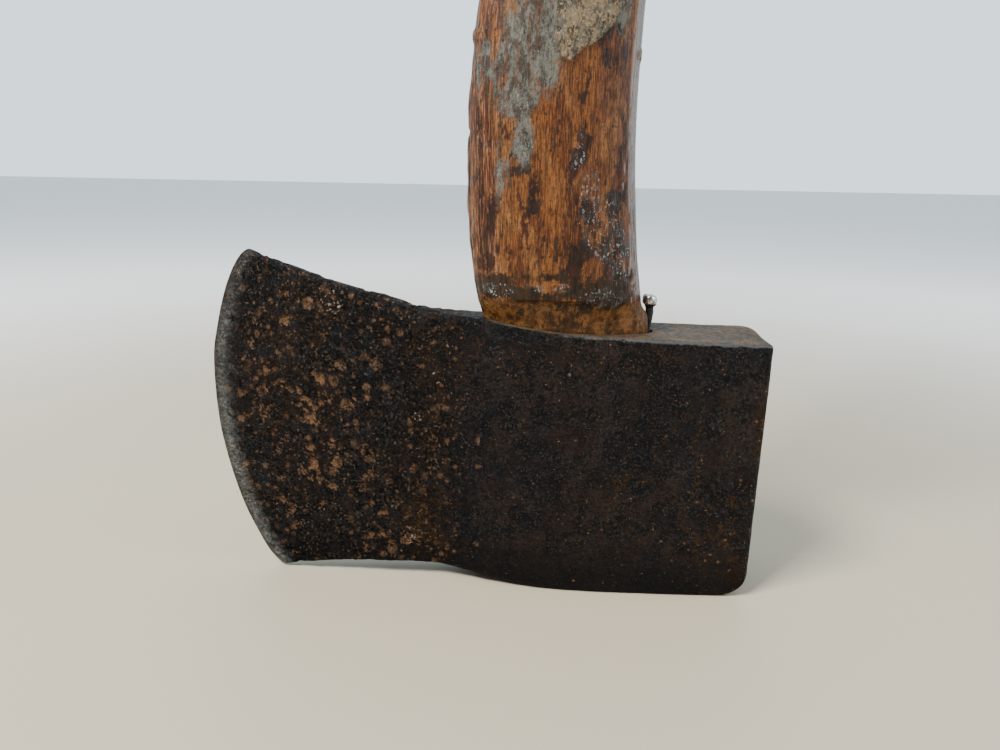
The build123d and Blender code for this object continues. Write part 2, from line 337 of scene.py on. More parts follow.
def head_surface():
    """The head's skin before wear, as rings of rounded sections from the bit to the poll.

    Each ring's X bends with the bit's arc near the edge and straightens by the eye. Both
    ends are closed by a grid drawn straight across from front cheek to back cheek.
    """
    weights = section_weights()
    stations = head_stations()[:, None]
    bend = 1 - ramp(stations, BIT_X, 10 * MM)
    low_w, high_w, low_round_w, high_round_w = weights[:4]
    height = high_w * HEEL_HEIGHT * np.ones_like(stations)
    for _ in range(HEIGHT_PASSES):
        x = stations + bend * (bit_x(np.clip(height, 0, HEEL_HEIGHT)) - BIT_X)
        from_bit = x - bit_x(np.clip(height, 0, HEEL_HEIGHT))
        from_poll = POLL_X - x
        on_blade = 1 - ramp(x, SHOULDER_X - 6 * MM, SHOULDER_X + 14 * MM)
        upright_edge = np.where(weights[4] > 0, POLL_BACK_EDGE, POLL_EDGE)
        half = half_thickness(x, height) - rounding(from_poll, upright_edge)
        low_round = np.minimum(LOW_ROUND, half * 0.92)
        high_round = np.minimum(HIGH_ROUND + BLADE_ROUND * on_blade, half * 0.92)
        low = crown_height(x) + rounding(from_poll, POLL_CORNER) + rounding(from_bit, TOE_ROUNDING)
        high = np.minimum(underside_height(x), HEEL_HEIGHT)
        high = high - rounding(from_poll, UNDERSIDE_END) - rounding(from_bit, HEEL_ROUNDING)
        height = low_w * low + high_w * high
        height = height + low_round_w * low_round + high_round_w * high_round
    y = weights[4] * half + weights[5] * low_round + weights[6] * high_round
    rings = np.stack([x, y, height], axis=-1)
    count, around = rings.shape[:2]
    points = [rings.reshape(-1, 3)]
    quads = [tube_quads(count, around)[:, ::-1]]
    rows = SIDE_STEPS + 2 * CORNER_STEPS + 1
    total = count * around
    for ring, flip in ((0, False), (count - 1, True)):
        grid = end_grid(ring, around, total, rows)
        share = np.linspace(0, 1, ACROSS_STEPS + 1)[1:-1][None, :, None]
        front, back = points[0][grid[1:-1, 0]], points[0][grid[1:-1, -1]]
        inner = front[:, None] * (1 - share) + back[:, None] * share
        points.append(inner.reshape(-1, 3))
        total += inner.shape[0] * inner.shape[1]
        corners = [grid[:-1, :-1], grid[1:, :-1], grid[1:, 1:], grid[:-1, 1:]]
        cap = np.stack(corners, axis=-1).reshape(-1, 4)
        quads.append(cap[:, ::-1] if flip else cap)
    return np.concatenate(points), np.concatenate(quads)


def eye_cutter():
    """The eye as a closed tube of ellipses: longest at the crown, tightest at its waist."""
    heights = np.linspace(-3 * MM, EYE_TOP + 4 * MM, 56)[:, None]
    wider = curve_through(
        heights, [-3 * MM, 0, WAIST_HEIGHT, EYE_TOP, EYE_TOP + 4 * MM],
        [EYE_FLARE, EYE_FLARE, -EYE_WAIST, 0, 0],
    )
    turn = np.linspace(0, 2 * math.pi, 96, endpoint=False)[None, :]
    x = EYE_X + (EYE_LENGTH + wider) / 2 * np.cos(turn)
    y = (EYE_WIDTH + wider) / 2 * np.sin(turn)
    rings = np.stack([x, y, heights + 0 * x], axis=-1)
    return rings


def blade_share(points):
    """1 on the blade and 0 on the cheeks."""
    return 1 - ramp(points[:, 0], -22 * MM, 6 * MM)


def from_edge(points):
    """Distance behind the cutting edge, along X."""
    return points[:, 0] - bit_x(np.clip(points[:, 2], 0, HEEL_HEIGHT))


def blade_craters(points):
    """Depth of the rust craters and which of them hold rust: large ones with small between."""
    ragged = warped(points, 1.6 * MM, 1.0 * MM, 81)
    large, large_kind = craters(ragged, 3.6 * MM, 0.9 * MM, 2.2 * MM, 21)
    small, small_kind = craters(ragged, 1.9 * MM, 0.4 * MM, 1.1 * MM, 22)
    depth = np.maximum(large, 0.7 * small)
    large_rust = ramp(large, 0.0, 0.25) * (1 - 0.55 * ramp(large, 0.45, 0.9)) * (large_kind > 0.38)
    small_rust = ramp(small, 0.1, 0.5) * (small_kind > 0.60)
    return depth, np.maximum(large_rust, small_rust)


LUMP_DEPTH = 0.10 * MM
SKIN_DEPTH = 0.30 * MM
BOWL_DEPTH = 0.55 * MM
CHIP_DEPTH = 0.45 * MM
LEAST_WEAR = 0.02 * MM


def head_wear(points):
    """How far wear has eaten into the head at each point, in metres.

    Shallow forging lumps everywhere, a pitted skin and rust craters that are deepest on
    the blade, and almost nothing on the band along the edge that was last sharpened.
    """
    on_blade = blade_share(points)
    unworn = ramp(from_edge(points), 1.0 * MM, 6.5 * MM)
    lumps = LUMP_DEPTH * (rough(points, 11 * MM, 3) + 0.6)
    skin = SKIN_DEPTH * (0.25 + 0.75 * on_blade) * (rough(points, 2.4 * MM, 11, 2) + 0.5)
    bowls = BOWL_DEPTH * (0.08 + 0.92 * on_blade) * blade_craters(points)[0]
    top = underside_height(points[:, 0])
    along_top = ramp(points[:, 2], top - 1.5 * MM, top)
    chips = CHIP_DEPTH * on_blade * along_top * ramp(rough(points, 2.6 * MM, 15, 2), 0.0, 0.35)
    return unworn * (lumps + skin + bowls + chips) + LEAST_WEAR


# soft ovals on the head: X, height, half width, half height, strength
BROWN_HAZE = (
    (-12.7, 66.7, 10, 10, 0.55), (-14.2, 44.7, 7, 14, 0.45), (-16.4, 16.8, 8, 12, 0.8),
    (-13.0, 12.0, 5, 5, 1.0), (-44, 74, 12, 8, 0.45), (-55, 68, 7, 12, 0.4),
    (-50, 50, 12, 14, 0.35), (30, 66, 30, 4, 0.35), (60, 20, 12, 16, 0.5),
    (36, 30, 14, 12, 0.4), (52, 50, 10, 10, 0.35), (71, 50, 2, 8, 1.0), (69, 8, 4, 6, 1.0),
)
CREAM_DINGS = (
    (-8.9, 56, 9, 22, 0.55), (-2.6, 72.5, 2.2, 1.2, 1.0), (-8.6, 66.6, 2, 2, 1.0),
    (-40, 77, 5, 4, 0.9), (-12.1, 58.1, 2, 2.4, 1.0), (-17.1, 46.9, 2.4, 2.4, 1.0),
    (-20.2, 12.2, 2.4, 2.4, 1.0), (-22, 20, 9, 8, 0.5), (-42, 25.9, 1.8, 1.8, 1.0),
    (-30, 60, 14, 10, 0.35),
)
RUST_DENSITY = (
    (-44.6, 51.1, 12, 14, 1.0), (-42.7, 34.1, 12, 13, 1.0), (-50.5, 74.5, 11, 8, 0.9),
    (-56, 56, 8, 14, 0.8), (-30, 45, 10, 26, 0.5), (-24, 14, 10, 10, 0.7), (-12, 40, 8, 30, 0.4),
    (-55, 20, 8, 12, 0.6),
)


def head_attributes(points, normals):
    """What the steel's material reads at each point of the head."""
    half = half_thickness(points[:, 0], points[:, 2])
    top = underside_height(points[:, 0])
    near_top = ramp(points[:, 2], top - 1.6 * MM, top - 0.5 * MM)
    near_side = ramp(np.abs(points[:, 1]), half - 2.0 * MM, half - 0.9 * MM)
    near_poll = 0.55 * ramp(points[:, 0], POLL_X - 1.8 * MM, POLL_X - 0.6 * MM)
    behind_blade = ramp(points[:, 0], -4 * MM, 6 * MM)
    more_to_poll = 0.45 + 0.55 * ramp(points[:, 0], 10 * MM, 45 * MM)
    dulled = 0.3 * ramp(points[:, 2], 44 * MM, 60 * MM) + 0.35 * ramp(points[:, 2], 70 * MM, 84 * MM)
    return {
        "rust": blade_craters(points)[1] * patches(points, RUST_DENSITY, (4, -6)),
        "blade": blade_share(points),
        "from_edge": from_edge(points) / MM,
        "haze": patches(points, BROWN_HAZE, (9, -5)),
        "dings": patches(points, CREAM_DINGS, (-5, 8)),
        "rim": near_side * np.maximum(near_top * behind_blade * more_to_poll, near_poll),
        "upper": ramp(normals[:, 2], 0.6, 0.9) * behind_blade,
        "sharpened": 1 - dulled,
    }


def closed_tube(rings):
    """Points and faces of a tube of rings, closed at each end by a fan to a middle point."""
    count, around = rings.shape[:2]
    points = rings.reshape(-1, 3)
    ends = np.stack([rings[0].mean(0), rings[-1].mean(0)])
    quads = tube_quads(count, around)
    a = np.arange(around)
    b = (a + 1) % around
    last = (count - 1) * around
    low_fan = np.stack([b, a, np.full(around, count * around)], axis=1)
    high_fan = np.stack([last + a, last + b, np.full(around, count * around + 1)], axis=1)
    faces = quads.tolist() + low_fan.tolist() + high_fan.tolist()
    return np.concatenate([points, ends]), faces


def cut_out(piece, cutter):
    """Takes the cutter's closed shape out of the piece and removes the cutter."""
    bool_cut = piece.modifiers.new("cut", "BOOLEAN")
    bool_cut.operation = "DIFFERENCE"
    bool_cut.solver = "MANIFOLD"
    bool_cut.object = cutter
    bpy.context.view_layer.update()
    evaluated = piece.evaluated_get(bpy.context.evaluated_depsgraph_get())
    shape = bpy.data.meshes.new_from_object(evaluated)
    piece.modifiers.clear()
    piece.data = shape
    bpy.data.objects.remove(cutter)


def mesh_points(piece):
    """The piece's points and their normals as arrays."""
    count = len(piece.data.vertices)
    points = np.empty(count * 3)
    normals = np.empty(count * 3)
    piece.data.vertices.foreach_get("co", points)
    piece.data.vertex_normals.foreach_get("vector", normals)
    return points.reshape(-1, 3), normals.reshape(-1, 3)


def add_attribute(piece, name, values):
    """A float for each point, which materials read by name."""
    layer = piece.data.attributes.new(name, "FLOAT", "POINT")
    layer.data.foreach_set("value", np.asarray(values, np.float32))


def keep_inside(points):
    """Points held inside the frame's own box."""
    low, high = (np.array(corner) for corner in cad_bounds)
    return np.clip(points, low, high)


def poll_burr(points):
    """How far hammering has raised the underside's end by the poll: a soft hump, in metres."""
    near_top = ramp(points[:, 2], 66 * MM, 69.5 * MM) * ramp(points[:, 0], 62 * MM, 71.5 * MM)
    return BURR_HEIGHT * near_top * np.exp(-((points[:, 1] - 3.5 * MM) / (7 * MM)) ** 2)


def make_head():
    """The forged head: its skin worn along the normals, then the eye cut through it."""
    points, quads = head_surface()
    points[:, 2] += poll_burr(points)
    normals = vertex_normals(points, quads)
    points = keep_inside(points - normals * head_wear(points)[:, None])
    head = make_piece("forged_head", points, quads)
    cutter_points, cutter_faces = closed_tube(eye_cutter())
    cut_out(head, make_piece("eye_cutter", cutter_points, cutter_faces))
    points, normals = mesh_points(head)
    for key, values in head_attributes(points, normals).items():
        add_attribute(head, key, values)
    return head


# ---- the haft: shape -------------------------------------------------------------------
SHOULDER_HEIGHT = 79.4 * MM
HAFT_AROUND = 168
KNOB_SLANT = math.radians(14)
KNOB_EDGE = 2.5 * MM
FACET_TURN = math.radians(24)   # arris shaved off each rear corner, from the poll's direction
FACET_DEPTH = 0.45 * MM
TONGUE_SHORTER = 2.0 * MM       # what paring takes off the tongue by the shoulder
TONGUE_WIDER = 1.6 * MM
TONGUE_LEAN = 2.4 * MM
REAR_FLAT = 2.0 * MM


def haft_stations():
    """Height of each ring: wide apart inside the eye, close at the shoulder and the knob."""
    inside = np.arange(haft_low.z, 66 * MM, 3 * MM)
    neck = np.arange(66 * MM, 84 * MM, 0.42 * MM)
    above = np.arange(84 * MM, haft_high.z - 6 * MM, 0.85 * MM)
    turn = np.linspace(0, math.pi / 2, 7)
    end = haft_high.z - KNOB_EDGE + KNOB_EDGE * np.sin(turn)
    gap = np.arange(above[-1] + 0.7 * MM, end[0], 0.7 * MM)
    return np.concatenate([inside, neck, above, gap, end])


def oval(turn, length, width, fullness):
    """A superellipse: 2 is an ellipse and larger fullness squares it towards its corners."""
    c, s = np.cos(turn), np.sin(turn)
    x = length / 2 * np.sign(c) * np.abs(c) ** (2 / fullness)
    y = width / 2 * np.sign(s) * np.abs(s) ** (2 / fullness)
    return x, y


def haft_surface():
    """The haft's skin before wear, as rings up the haft.

    Below the shoulder a ring is the eye's ellipse less its fit; above it an oval that
    follows the haft's sway. Between them the two are blended, abruptly at the ledge in
    front and gently elsewhere. The end face slants and its edge is a quarter circle.
    """
    height = haft_stations()[:, None]
    turn = np.linspace(0, 2 * math.pi, HAFT_AROUND, endpoint=False)[None, :]
    stations = np.array([79.4, 94, 120.5, 149.8, 185, 232, 284.8, 325.8, 355.2, 381.6]) * MM
    sway = np.array([-2.9, -4.9, -6.2, -4.7, -1.0, 3.3, 5.0, 3.2, -0.6, -4.4]) * MM
    length = np.array([42.7, 42.8, 41.6, 39.3, 36.6, 33.5, 33.0, 34.6, 39.4, 42]) * MM
    width = np.array([23.4, 23.6, 23.4, 22.8, 22.3, 22, 22, 22.5, 24.4, 25]) * MM
    body_x, body_y = oval(
        turn, curve_through(height, stations, length), curve_through(height, stations, width), 2.25
    )
    for side in (-1, 1):
        way_x, way_y = math.cos(FACET_TURN), side * math.sin(FACET_TURN)
        reach = body_x * way_x + body_y * way_y
        spare = np.clip(reach - (reach.max(axis=1, keepdims=True) - FACET_DEPTH), 0, None)
        spare = spare * (1 - ramp(height, 170 * MM, 230 * MM))
        body_x = body_x - spare * way_x
        body_y = body_y - spare * way_y
    body_x = body_x + EYE_X + curve_through(height, stations, sway)
    wider = curve_through(height, [0, WAIST_HEIGHT, EYE_TOP], [EYE_FLARE, -EYE_WAIST, 0])
    pare = ramp(height, 72 * MM, SHOULDER_HEIGHT)
    tongue_length = EYE_LENGTH + wider - 2 * EYE_FIT - TONGUE_SHORTER * pare
    tongue_width = EYE_WIDTH + wider - 2 * EYE_FIT + TONGUE_WIDER * pare
    tongue_x, tongue_y = oval(turn, tongue_length, tongue_width, 2.0 + 0.2 * pare)
    tongue_x = tongue_x + EYE_X - TONGUE_LEAN * pare
    in_front = ramp(body_x, 6 * MM, 10 * MM) * (1 - ramp(body_x, 24 * MM, 28 * MM))
    in_front = in_front * (np.sin(turn) < 0)
    start = SHOULDER_HEIGHT - 0.3 * MM - 4.4 * MM * (1 - in_front)
    above = ramp(height, start, SHOULDER_HEIGHT + 0.4 * MM + 0.8 * MM * (1 - in_front))
    x = tongue_x + (body_x - tongue_x) * above
    y = tongue_y + (body_y - tongue_y) * above
    rear = EYE_X + EYE_LENGTH / 2 - REAR_FLAT
    x = np.where(height < SHOULDER_HEIGHT, np.minimum(x, rear), x)
    shrink = rounding(haft_high.z - height, KNOB_EDGE)
    centre = EYE_X + curve_through(height, stations, sway)
    reach = np.hypot(x - centre, y)
    x = centre + (x - centre) * (1 - shrink / reach)
    y = y * (1 - shrink / reach)
    lean = math.tan(KNOB_SLANT) * ramp(height, haft_high.z - 60 * MM, haft_high.z)
    z = height - lean * (x.max(axis=1, keepdims=True) - x)
    rings = np.stack([x, y, z], axis=-1)
    middle = rings[-1].mean(0)
    cap = [middle + (rings[-1] - middle) * share for share in np.linspace(1, 0, 18)[1:-1]]
    start_middle = rings[0].mean(0)
    start = [start_middle + (rings[0] - start_middle) * s for s in np.linspace(0, 1, 14)[1:-1]]
    return np.concatenate([start, rings, cap])


# soft ovals on the haft: X, height, half width, half height, strength
GREY_WEATHERING = (
    (10.5, 139, 6.6, 11, 1.0), (7.0, 126.5, 4.4, 5, 1.0), (8.6, 117.2, 2.4, 6.5, 0.9),
    (3.5, 111, 2.0, 6, 0.6), (12, 158, 7, 18, 0.95), (30.5, 147, 2.4, 6, 0.8), (-1, 134, 3, 9, 0.45),
    (16.5, 148, 4, 8, 0.8), (3.6, 131, 2.4, 8, 0.6),
)
BEIGE_CRUST = (
    (22.6, 146, 7.0, 5.5, 1.0), (18.4, 139, 3.8, 3.6, 1.0), (22.0, 141, 4.0, 3.6, 0.9),
    (24, 156, 6, 9, 0.9), (27.5, 148, 3, 5, 0.9), (36.6, 137, 1.2, 1.3, 1.2),
)
DARK_STAIN = (
    (22.4, 128.5, 1.0, 6, 0.8), (22.6, 117.5, 2.2, 5.4, 0.8), (21.0, 110, 1.1, 7, 0.65),
    (8.4, 110.7, 3.2, 1.6, 0.9), (11.2, 104.4, 0.9, 4.4, 0.75), (9.8, 98.9, 1.2, 3.6, 0.75),
    (1.8, 100.5, 1.0, 6.0, 0.75), (23.0, 90.7, 4.4, 6.0, 1.0), (22.0, 84.5, 1.6, 5, 1.0),
    (25.5, 100, 3.6, 5, 0.75), (31, 92, 3.6, 7, 0.8), (0.5, 88.5, 2.6, 2.6, 1.0), (31, 104, 3, 4, 0.9),
    (14.2, 96, 1.5, 2.6, 0.5), (-2.5, 122, 1.4, 7, 0.45), (0.5, 141, 1.6, 8, 0.5), (28, 140, 4.0, 9, 0.5),
    (17, 112, 1.2, 3, 0.5), (6, 92, 5, 2, 0.55), (-1.5, 108, 1.0, 6, 0.4), (4.5, 121, 2, 5, 0.6),
    (31.5, 118, 2, 6, 0.45), (16, 121, 1.2, 3, 0.5),
)
SILVER_SPECKS = (
    (24.6, 103, 2.6, 11, 0.95), (29.0, 97, 4.8, 9, 1.0), (33.0, 91, 3.0, 9, 0.9), (21.8, 116, 1.8, 8, 0.6),
    (8.0, 115, 2.8, 9, 0.6), (3.0, 82.2, 4.4, 2.0, 1.0), (16, 83.2, 6.0, 1.3, 1.0),
    (29.3, 80.8, 7.0, 2.6, 1.0), (8, 130, 5, 14, 0.5),
)
BLACK_BAND = (
    (2.4, 83.0, 5.4, 3.0, 1.1), (10, 81.2, 5, 2.2, 1.0), (18, 81.0, 8, 1.6, 0.75),
    (29.3, 81.6, 7.0, 3.8, 1.1), (34, 84.5, 3.4, 3, 0.9), (14, 85.6, 9, 0.9, 0.6), (17, 78.6, 9, 0.7, 0.5),
)
GRIP_HEIGHT = 165.0             # above this the wood's stains are scattered at random


def scattered(seed, count):
    """Upright ovals at random over the grip and the knob."""
    draw = np.random.default_rng(seed).random((count, 5))
    x = -6 + 52 * draw[:, 0]
    height = GRIP_HEIGHT + 200 * draw[:, 1]
    half_width = 0.6 + 1.6 * draw[:, 2] ** 2
    half_height = 6 + 30 * draw[:, 3] ** 2
    return tuple(np.stack([x, height, half_width, half_height, 0.25 + 0.45 * draw[:, 4]], axis=1))


CRUST_RISE = 0.30 * MM
GRAIN_DEPTH = 0.06 * MM
HAND_DEPTH = 0.18 * MM
CHECK_DEPTH = 0.30 * MM
RAISED_DEPTH = 0.30 * MM
UNEVEN_DEPTH = 0.50 * MM
DENT_DEPTH = 0.22 * MM
KNOT_RISE = 0.55 * MM
NICK_DEPTH = 0.55 * MM
KNOT = (-3.0, 141.0, 4.0, 2.2)  # X, height, half width and half height, in mm
NICK = (-6.5, 119.5, 3.0, 1.6)


def crust_height(points):
    """How far the dried crust stands on the wood, in metres."""
    cover = patches(points, BEIGE_CRUST, (-6, -30)) + 0.5 * rough(points, 2.6 * MM, 44, 3)
    return CRUST_RISE * ramp(cover, 0.35, 0.55) * (0.75 + 0.5 * rough(points, 1.2 * MM, 45, 2))


def away_from(points, x, height, half_width, half_height):
    """Distance from an upright oval's middle, where 1 is its rim."""
    across = (points[:, 0] - x * MM) / (half_width * MM)
    up = (points[:, 2] - height * MM) / (half_height * MM)
    return np.hypot(up, across)


def haft_wear(points):
    """How far the wood is worn or weathered in, in metres.

    Fine grain, hand-worn hollows, drying checks, coarse raised grain on the side toward
    the bit with a nick and a swelling, and less where a crust stands on it.
    """
    long_grain = points * np.array([1, 1, 0.05])
    grain = GRAIN_DEPTH * (rough(long_grain, 1.3 * MM, 31, 2) + 0.5)
    hand = HAND_DEPTH * (rough(points, 16 * MM, 35, 2) + 0.5)
    line = np.abs(rough(points * np.array([1, 1, 0.02]), 3.2 * MM, 38, 2))
    checks = CHECK_DEPTH * (1 - ramp(line, 0, 0.035))
    checks = checks * ramp(rough(points, 30 * MM, 39, 1), 0.02, 0.15)
    toward_bit = 1 - ramp(points[:, 0], -1 * MM, 6 * MM)
    low_part = 1 - ramp(points[:, 2], 150 * MM, 190 * MM)
    furrow = np.abs(rough(points * np.array([1, 1, 0.035]), 2.2 * MM, 47, 2))
    raised = RAISED_DEPTH * toward_bit * low_part * (1 - ramp(furrow, 0, 0.10))
    uneven = UNEVEN_DEPTH * toward_bit * (rough(points, 6 * MM, 51, 2) + 0.2)
    knot = KNOT_RISE * (1 - ramp(away_from(points, *KNOT), 0.2, 1.0))
    nick = NICK_DEPTH * (1 - ramp(away_from(points, *NICK), 0.3, 1.0))
    bruises = craters(points, 9 * MM, 0.8 * MM, 2.4 * MM, 48)[0]
    dents = DENT_DEPTH * bruises * (rough(points, 20 * MM, 49, 1) > 0)
    return grain + hand + checks + raised + uneven + nick + dents - knot - crust_height(points)


def haft_attributes(points, normals):
    """What the wood's material reads at each point of the haft."""
    height = points[:, 2]
    low_part = 1 - ramp(height, 150 * MM, 200 * MM)
    rear_x = EYE_X + EYE_LENGTH / 2 - 11.5 * MM
    outside = (height > SHOULDER_HEIGHT) * (points[:, 0] > rear_x)
    crust = np.clip(crust_height(points) / CRUST_RISE, 0, 1)
    facet = ramp(normals[:, 0], 0.80, 0.90)
    # painted highlight: a pale line along the arris beside the rear facet
    arris_highlight = ramp(normals[:, 0], 0.66, 0.74) * (1 - ramp(normals[:, 0], 0.76, 0.84))
    return {
        "grey": patches(points, GREY_WEATHERING + scattered(61, 9), (-4, 22)),
        "crust": crust,
        "stain": patches(points, DARK_STAIN + scattered(62, 26), (5, 9)),
        "silver": patches(points, SILVER_SPECKS + scattered(63, 8), (7, -6)),
        "band": patches(points, BLACK_BAND, (4, 0.6)),
        "tongue": 1 - ramp(height, SHOULDER_HEIGHT - 0.9 * MM, SHOULDER_HEIGHT - 0.2 * MM),
        "coarse": (1 - ramp(points[:, 0], 0.5 * MM, 7 * MM)) * (0.35 + 0.65 * low_part),
        # painted sheen along the rear facet, which is also made glossier
        "gloss": facet * outside * (0.25 + 0.75 * low_part) * (1 - crust),
        "arris_highlight": arris_highlight * outside * low_part * (1 - crust),
        "end_grain": ramp(normals[:, 2], 0.75, 0.9) * (height > haft_high.z - 30 * MM),
    }


def plate_rings(low, high, steps, rows):
    """Rings of a plate that thins upwards, as (length, thickness, X, turn, height) at each end.

    A ring runs along one face, round the eye-shaped end, back along the other face and
    round the other end; between low and high every size changes in proportion.
    """
    share = np.linspace(0, 1, rows)[:, None]
    low, high = np.array(low)[:, None], np.array(high)[:, None]
    length, thickness, middle, turn, height = (low[k] * (1 - share) + high[k] * share for k in range(5))
    along = np.linspace(-1, 1, steps)
    along = np.concatenate([along, np.ones(5), along[::-1], -np.ones(5)])
    across = np.concatenate([
        -np.ones(steps), np.linspace(-1, 1, 7)[1:-1], np.ones(steps), np.linspace(1, -1, 7)[1:-1],
    ])
    y = across[None, :] * thickness / 2
    fullness = np.sqrt(np.clip(1 - (y / (EYE_WIDTH / 2)) ** 2, 0, 1))
    x = along[None, :] * length / 2 * fullness
    turned_x = middle + x * np.cos(turn) - y * np.sin(turn)
    turned_y = x * np.sin(turn) + y * np.cos(turn)
    return np.stack([turned_x, turned_y, height + 0 * x], axis=-1)


def wedge_rings(gap):
    """The wooden wedge, grown by a gap; a grown one runs out through both ends of the eye."""
    reach = EYE_LENGTH if gap else EYE_LENGTH + EYE_FLARE - 3 * EYE_FIT
    top = EYE_LENGTH if gap else EYE_LENGTH - EYE_WAIST - 3 * EYE_FIT
    return plate_rings(
        (reach + 20 * gap, WEDGE_THICKNESS + 2 * gap, EYE_X, 0, kerf_low.z - 20 * gap),
        (top + 20 * gap, WEDGE_TIP + 2 * gap, EYE_X, 0, kerf_high.z + gap), 60, 40,
    )


def steel_rings(gap):
    """The steel wedge across it, grown by a gap."""
    width = STEEL_WIDTH + 2 * gap
    return plate_rings(
        (width, STEEL_THICKNESS + 2 * gap, EYE_X, STEEL_TURN, steel_low.z - 20 * gap),
        (width, STEEL_TIP + 2 * gap, EYE_X, STEEL_TURN, steel_high.z + gap), 40, 36,
    )


def nail_rings(gap):
    """The nail: circles along a line that leans to the poll above the eye, under a mushroomed head.

    A grown one has no head's detail: it is only what the nail is driven into.
    """
    top = nail_high.z
    shank = [0, 4, 10, 18, 26, 34, 40, 42, 44]
    shank_radii = [0.3] + [1.1] * (len(shank) - 1)
    if gap:
        heights = shank + [45.4, 45.5, 48.8]
        radii = shank_radii + [1.1, 2.0, 2.0]
    else:
        heights = shank + [45.2, 45.6, 45.9, 46.3, 47.0, 47.7, 48.1, 48.4, NAIL_LENGTH]
        radii = shank_radii + [1.1, 1.4, 1.8, 1.99, 2.0, 1.95, 1.75, 1.3, 0.7]
    heights = np.array(heights)[:, None] / NAIL_LENGTH * (top - nail_low.z) + nail_low.z
    radii = np.array(radii)[:, None] * MM + gap
    turn = np.linspace(0, 2 * math.pi, 40, endpoint=False)[None, :]
    lean = NAIL_LEAN * np.clip((heights - EYE_TOP + 5.5 * MM) / (6 * MM), 0, 1.25)
    lean = lean - (0 if gap else NAIL_BEND) * ramp(heights, EYE_TOP - 2 * MM, top - 1.5 * MM)
    on_head = (radii > 1.2 * MM) * (0 if gap else 1)
    battered = 1 - 0.035 * on_head * (np.cos(2 * turn + 0.7) + np.cos(3 * turn + 2))
    x = NAIL_X + lean + radii * battered * np.cos(turn)
    y = radii * battered * np.sin(turn)
    tilt = 0.14 * on_head * (x - NAIL_X - lean)
    return np.stack([x, y, heights - tilt + 0 * x], axis=-1)


def curve_rings(rings, place):
    """The ring part of the way between two neighbouring rings."""
    ring = min(int(place), len(rings) - 2)
    share = place - ring
    return rings[ring] * (1 - share) + rings[ring + 1] * share


def driven_in(name, rings, dent, seed):
    """A wedge or nail from its rings, four times as close, dented along its normals by noise."""
    places = np.linspace(0, len(rings) - 1, 4 * len(rings))
    fine = np.stack([curve_rings(rings, share) for share in places])
    points, faces = closed_tube(fine)
    quads = np.array(faces[: -2 * fine.shape[1]])
    normals = vertex_normals(points, quads)
    points = points - normals * (dent * (rough(points, 1.6 * MM, seed, 3) + 0.6))[:, None]
    return make_piece(name, points, faces)


def slot_for(rings):
    """A closed shape to cut with."""
    points, faces = closed_tube(rings)
    return make_piece("slot", points, faces)


def make_haft():
    """The haft: its skin worn along the normals, sawn for both wedges and the nail."""
    points, faces = closed_tube(haft_surface())
    quads = np.array(faces[: -2 * HAFT_AROUND])
    normals = vertex_normals(points, quads)
    outside = ramp(points[:, 2], 71 * MM, 74 * MM)
    points = points - normals * (haft_wear(points) * outside)[:, None]
    haft = make_piece("haft_wood", keep_inside(points), faces)
    cut_out(haft, slot_for(wedge_rings(WEDGE_FIT)))
    cut_out(haft, slot_for(steel_rings(WEDGE_FIT)))
    cut_out(haft, slot_for(nail_rings(NAIL_FIT)))
    points, normals = mesh_points(haft)
    for key, values in haft_attributes(points, normals).items():
        add_attribute(haft, key, values)
    return haft


def make_kerf_wedge():
    """The wooden wedge, split by the steel one and notched by the nail."""
    wedge = driven_in("wooden_wedge", wedge_rings(0), 0.03 * MM, 71)
    cut_out(wedge, slot_for(steel_rings(WEDGE_FIT)))
    cut_out(wedge, slot_for(nail_rings(NAIL_FIT)))
    return wedge


# ---- materials -------------------------------------------------------------------------
SEED_STEP = (7.3, 3.1, 5.7)     # how far each new noise is moved along each axis


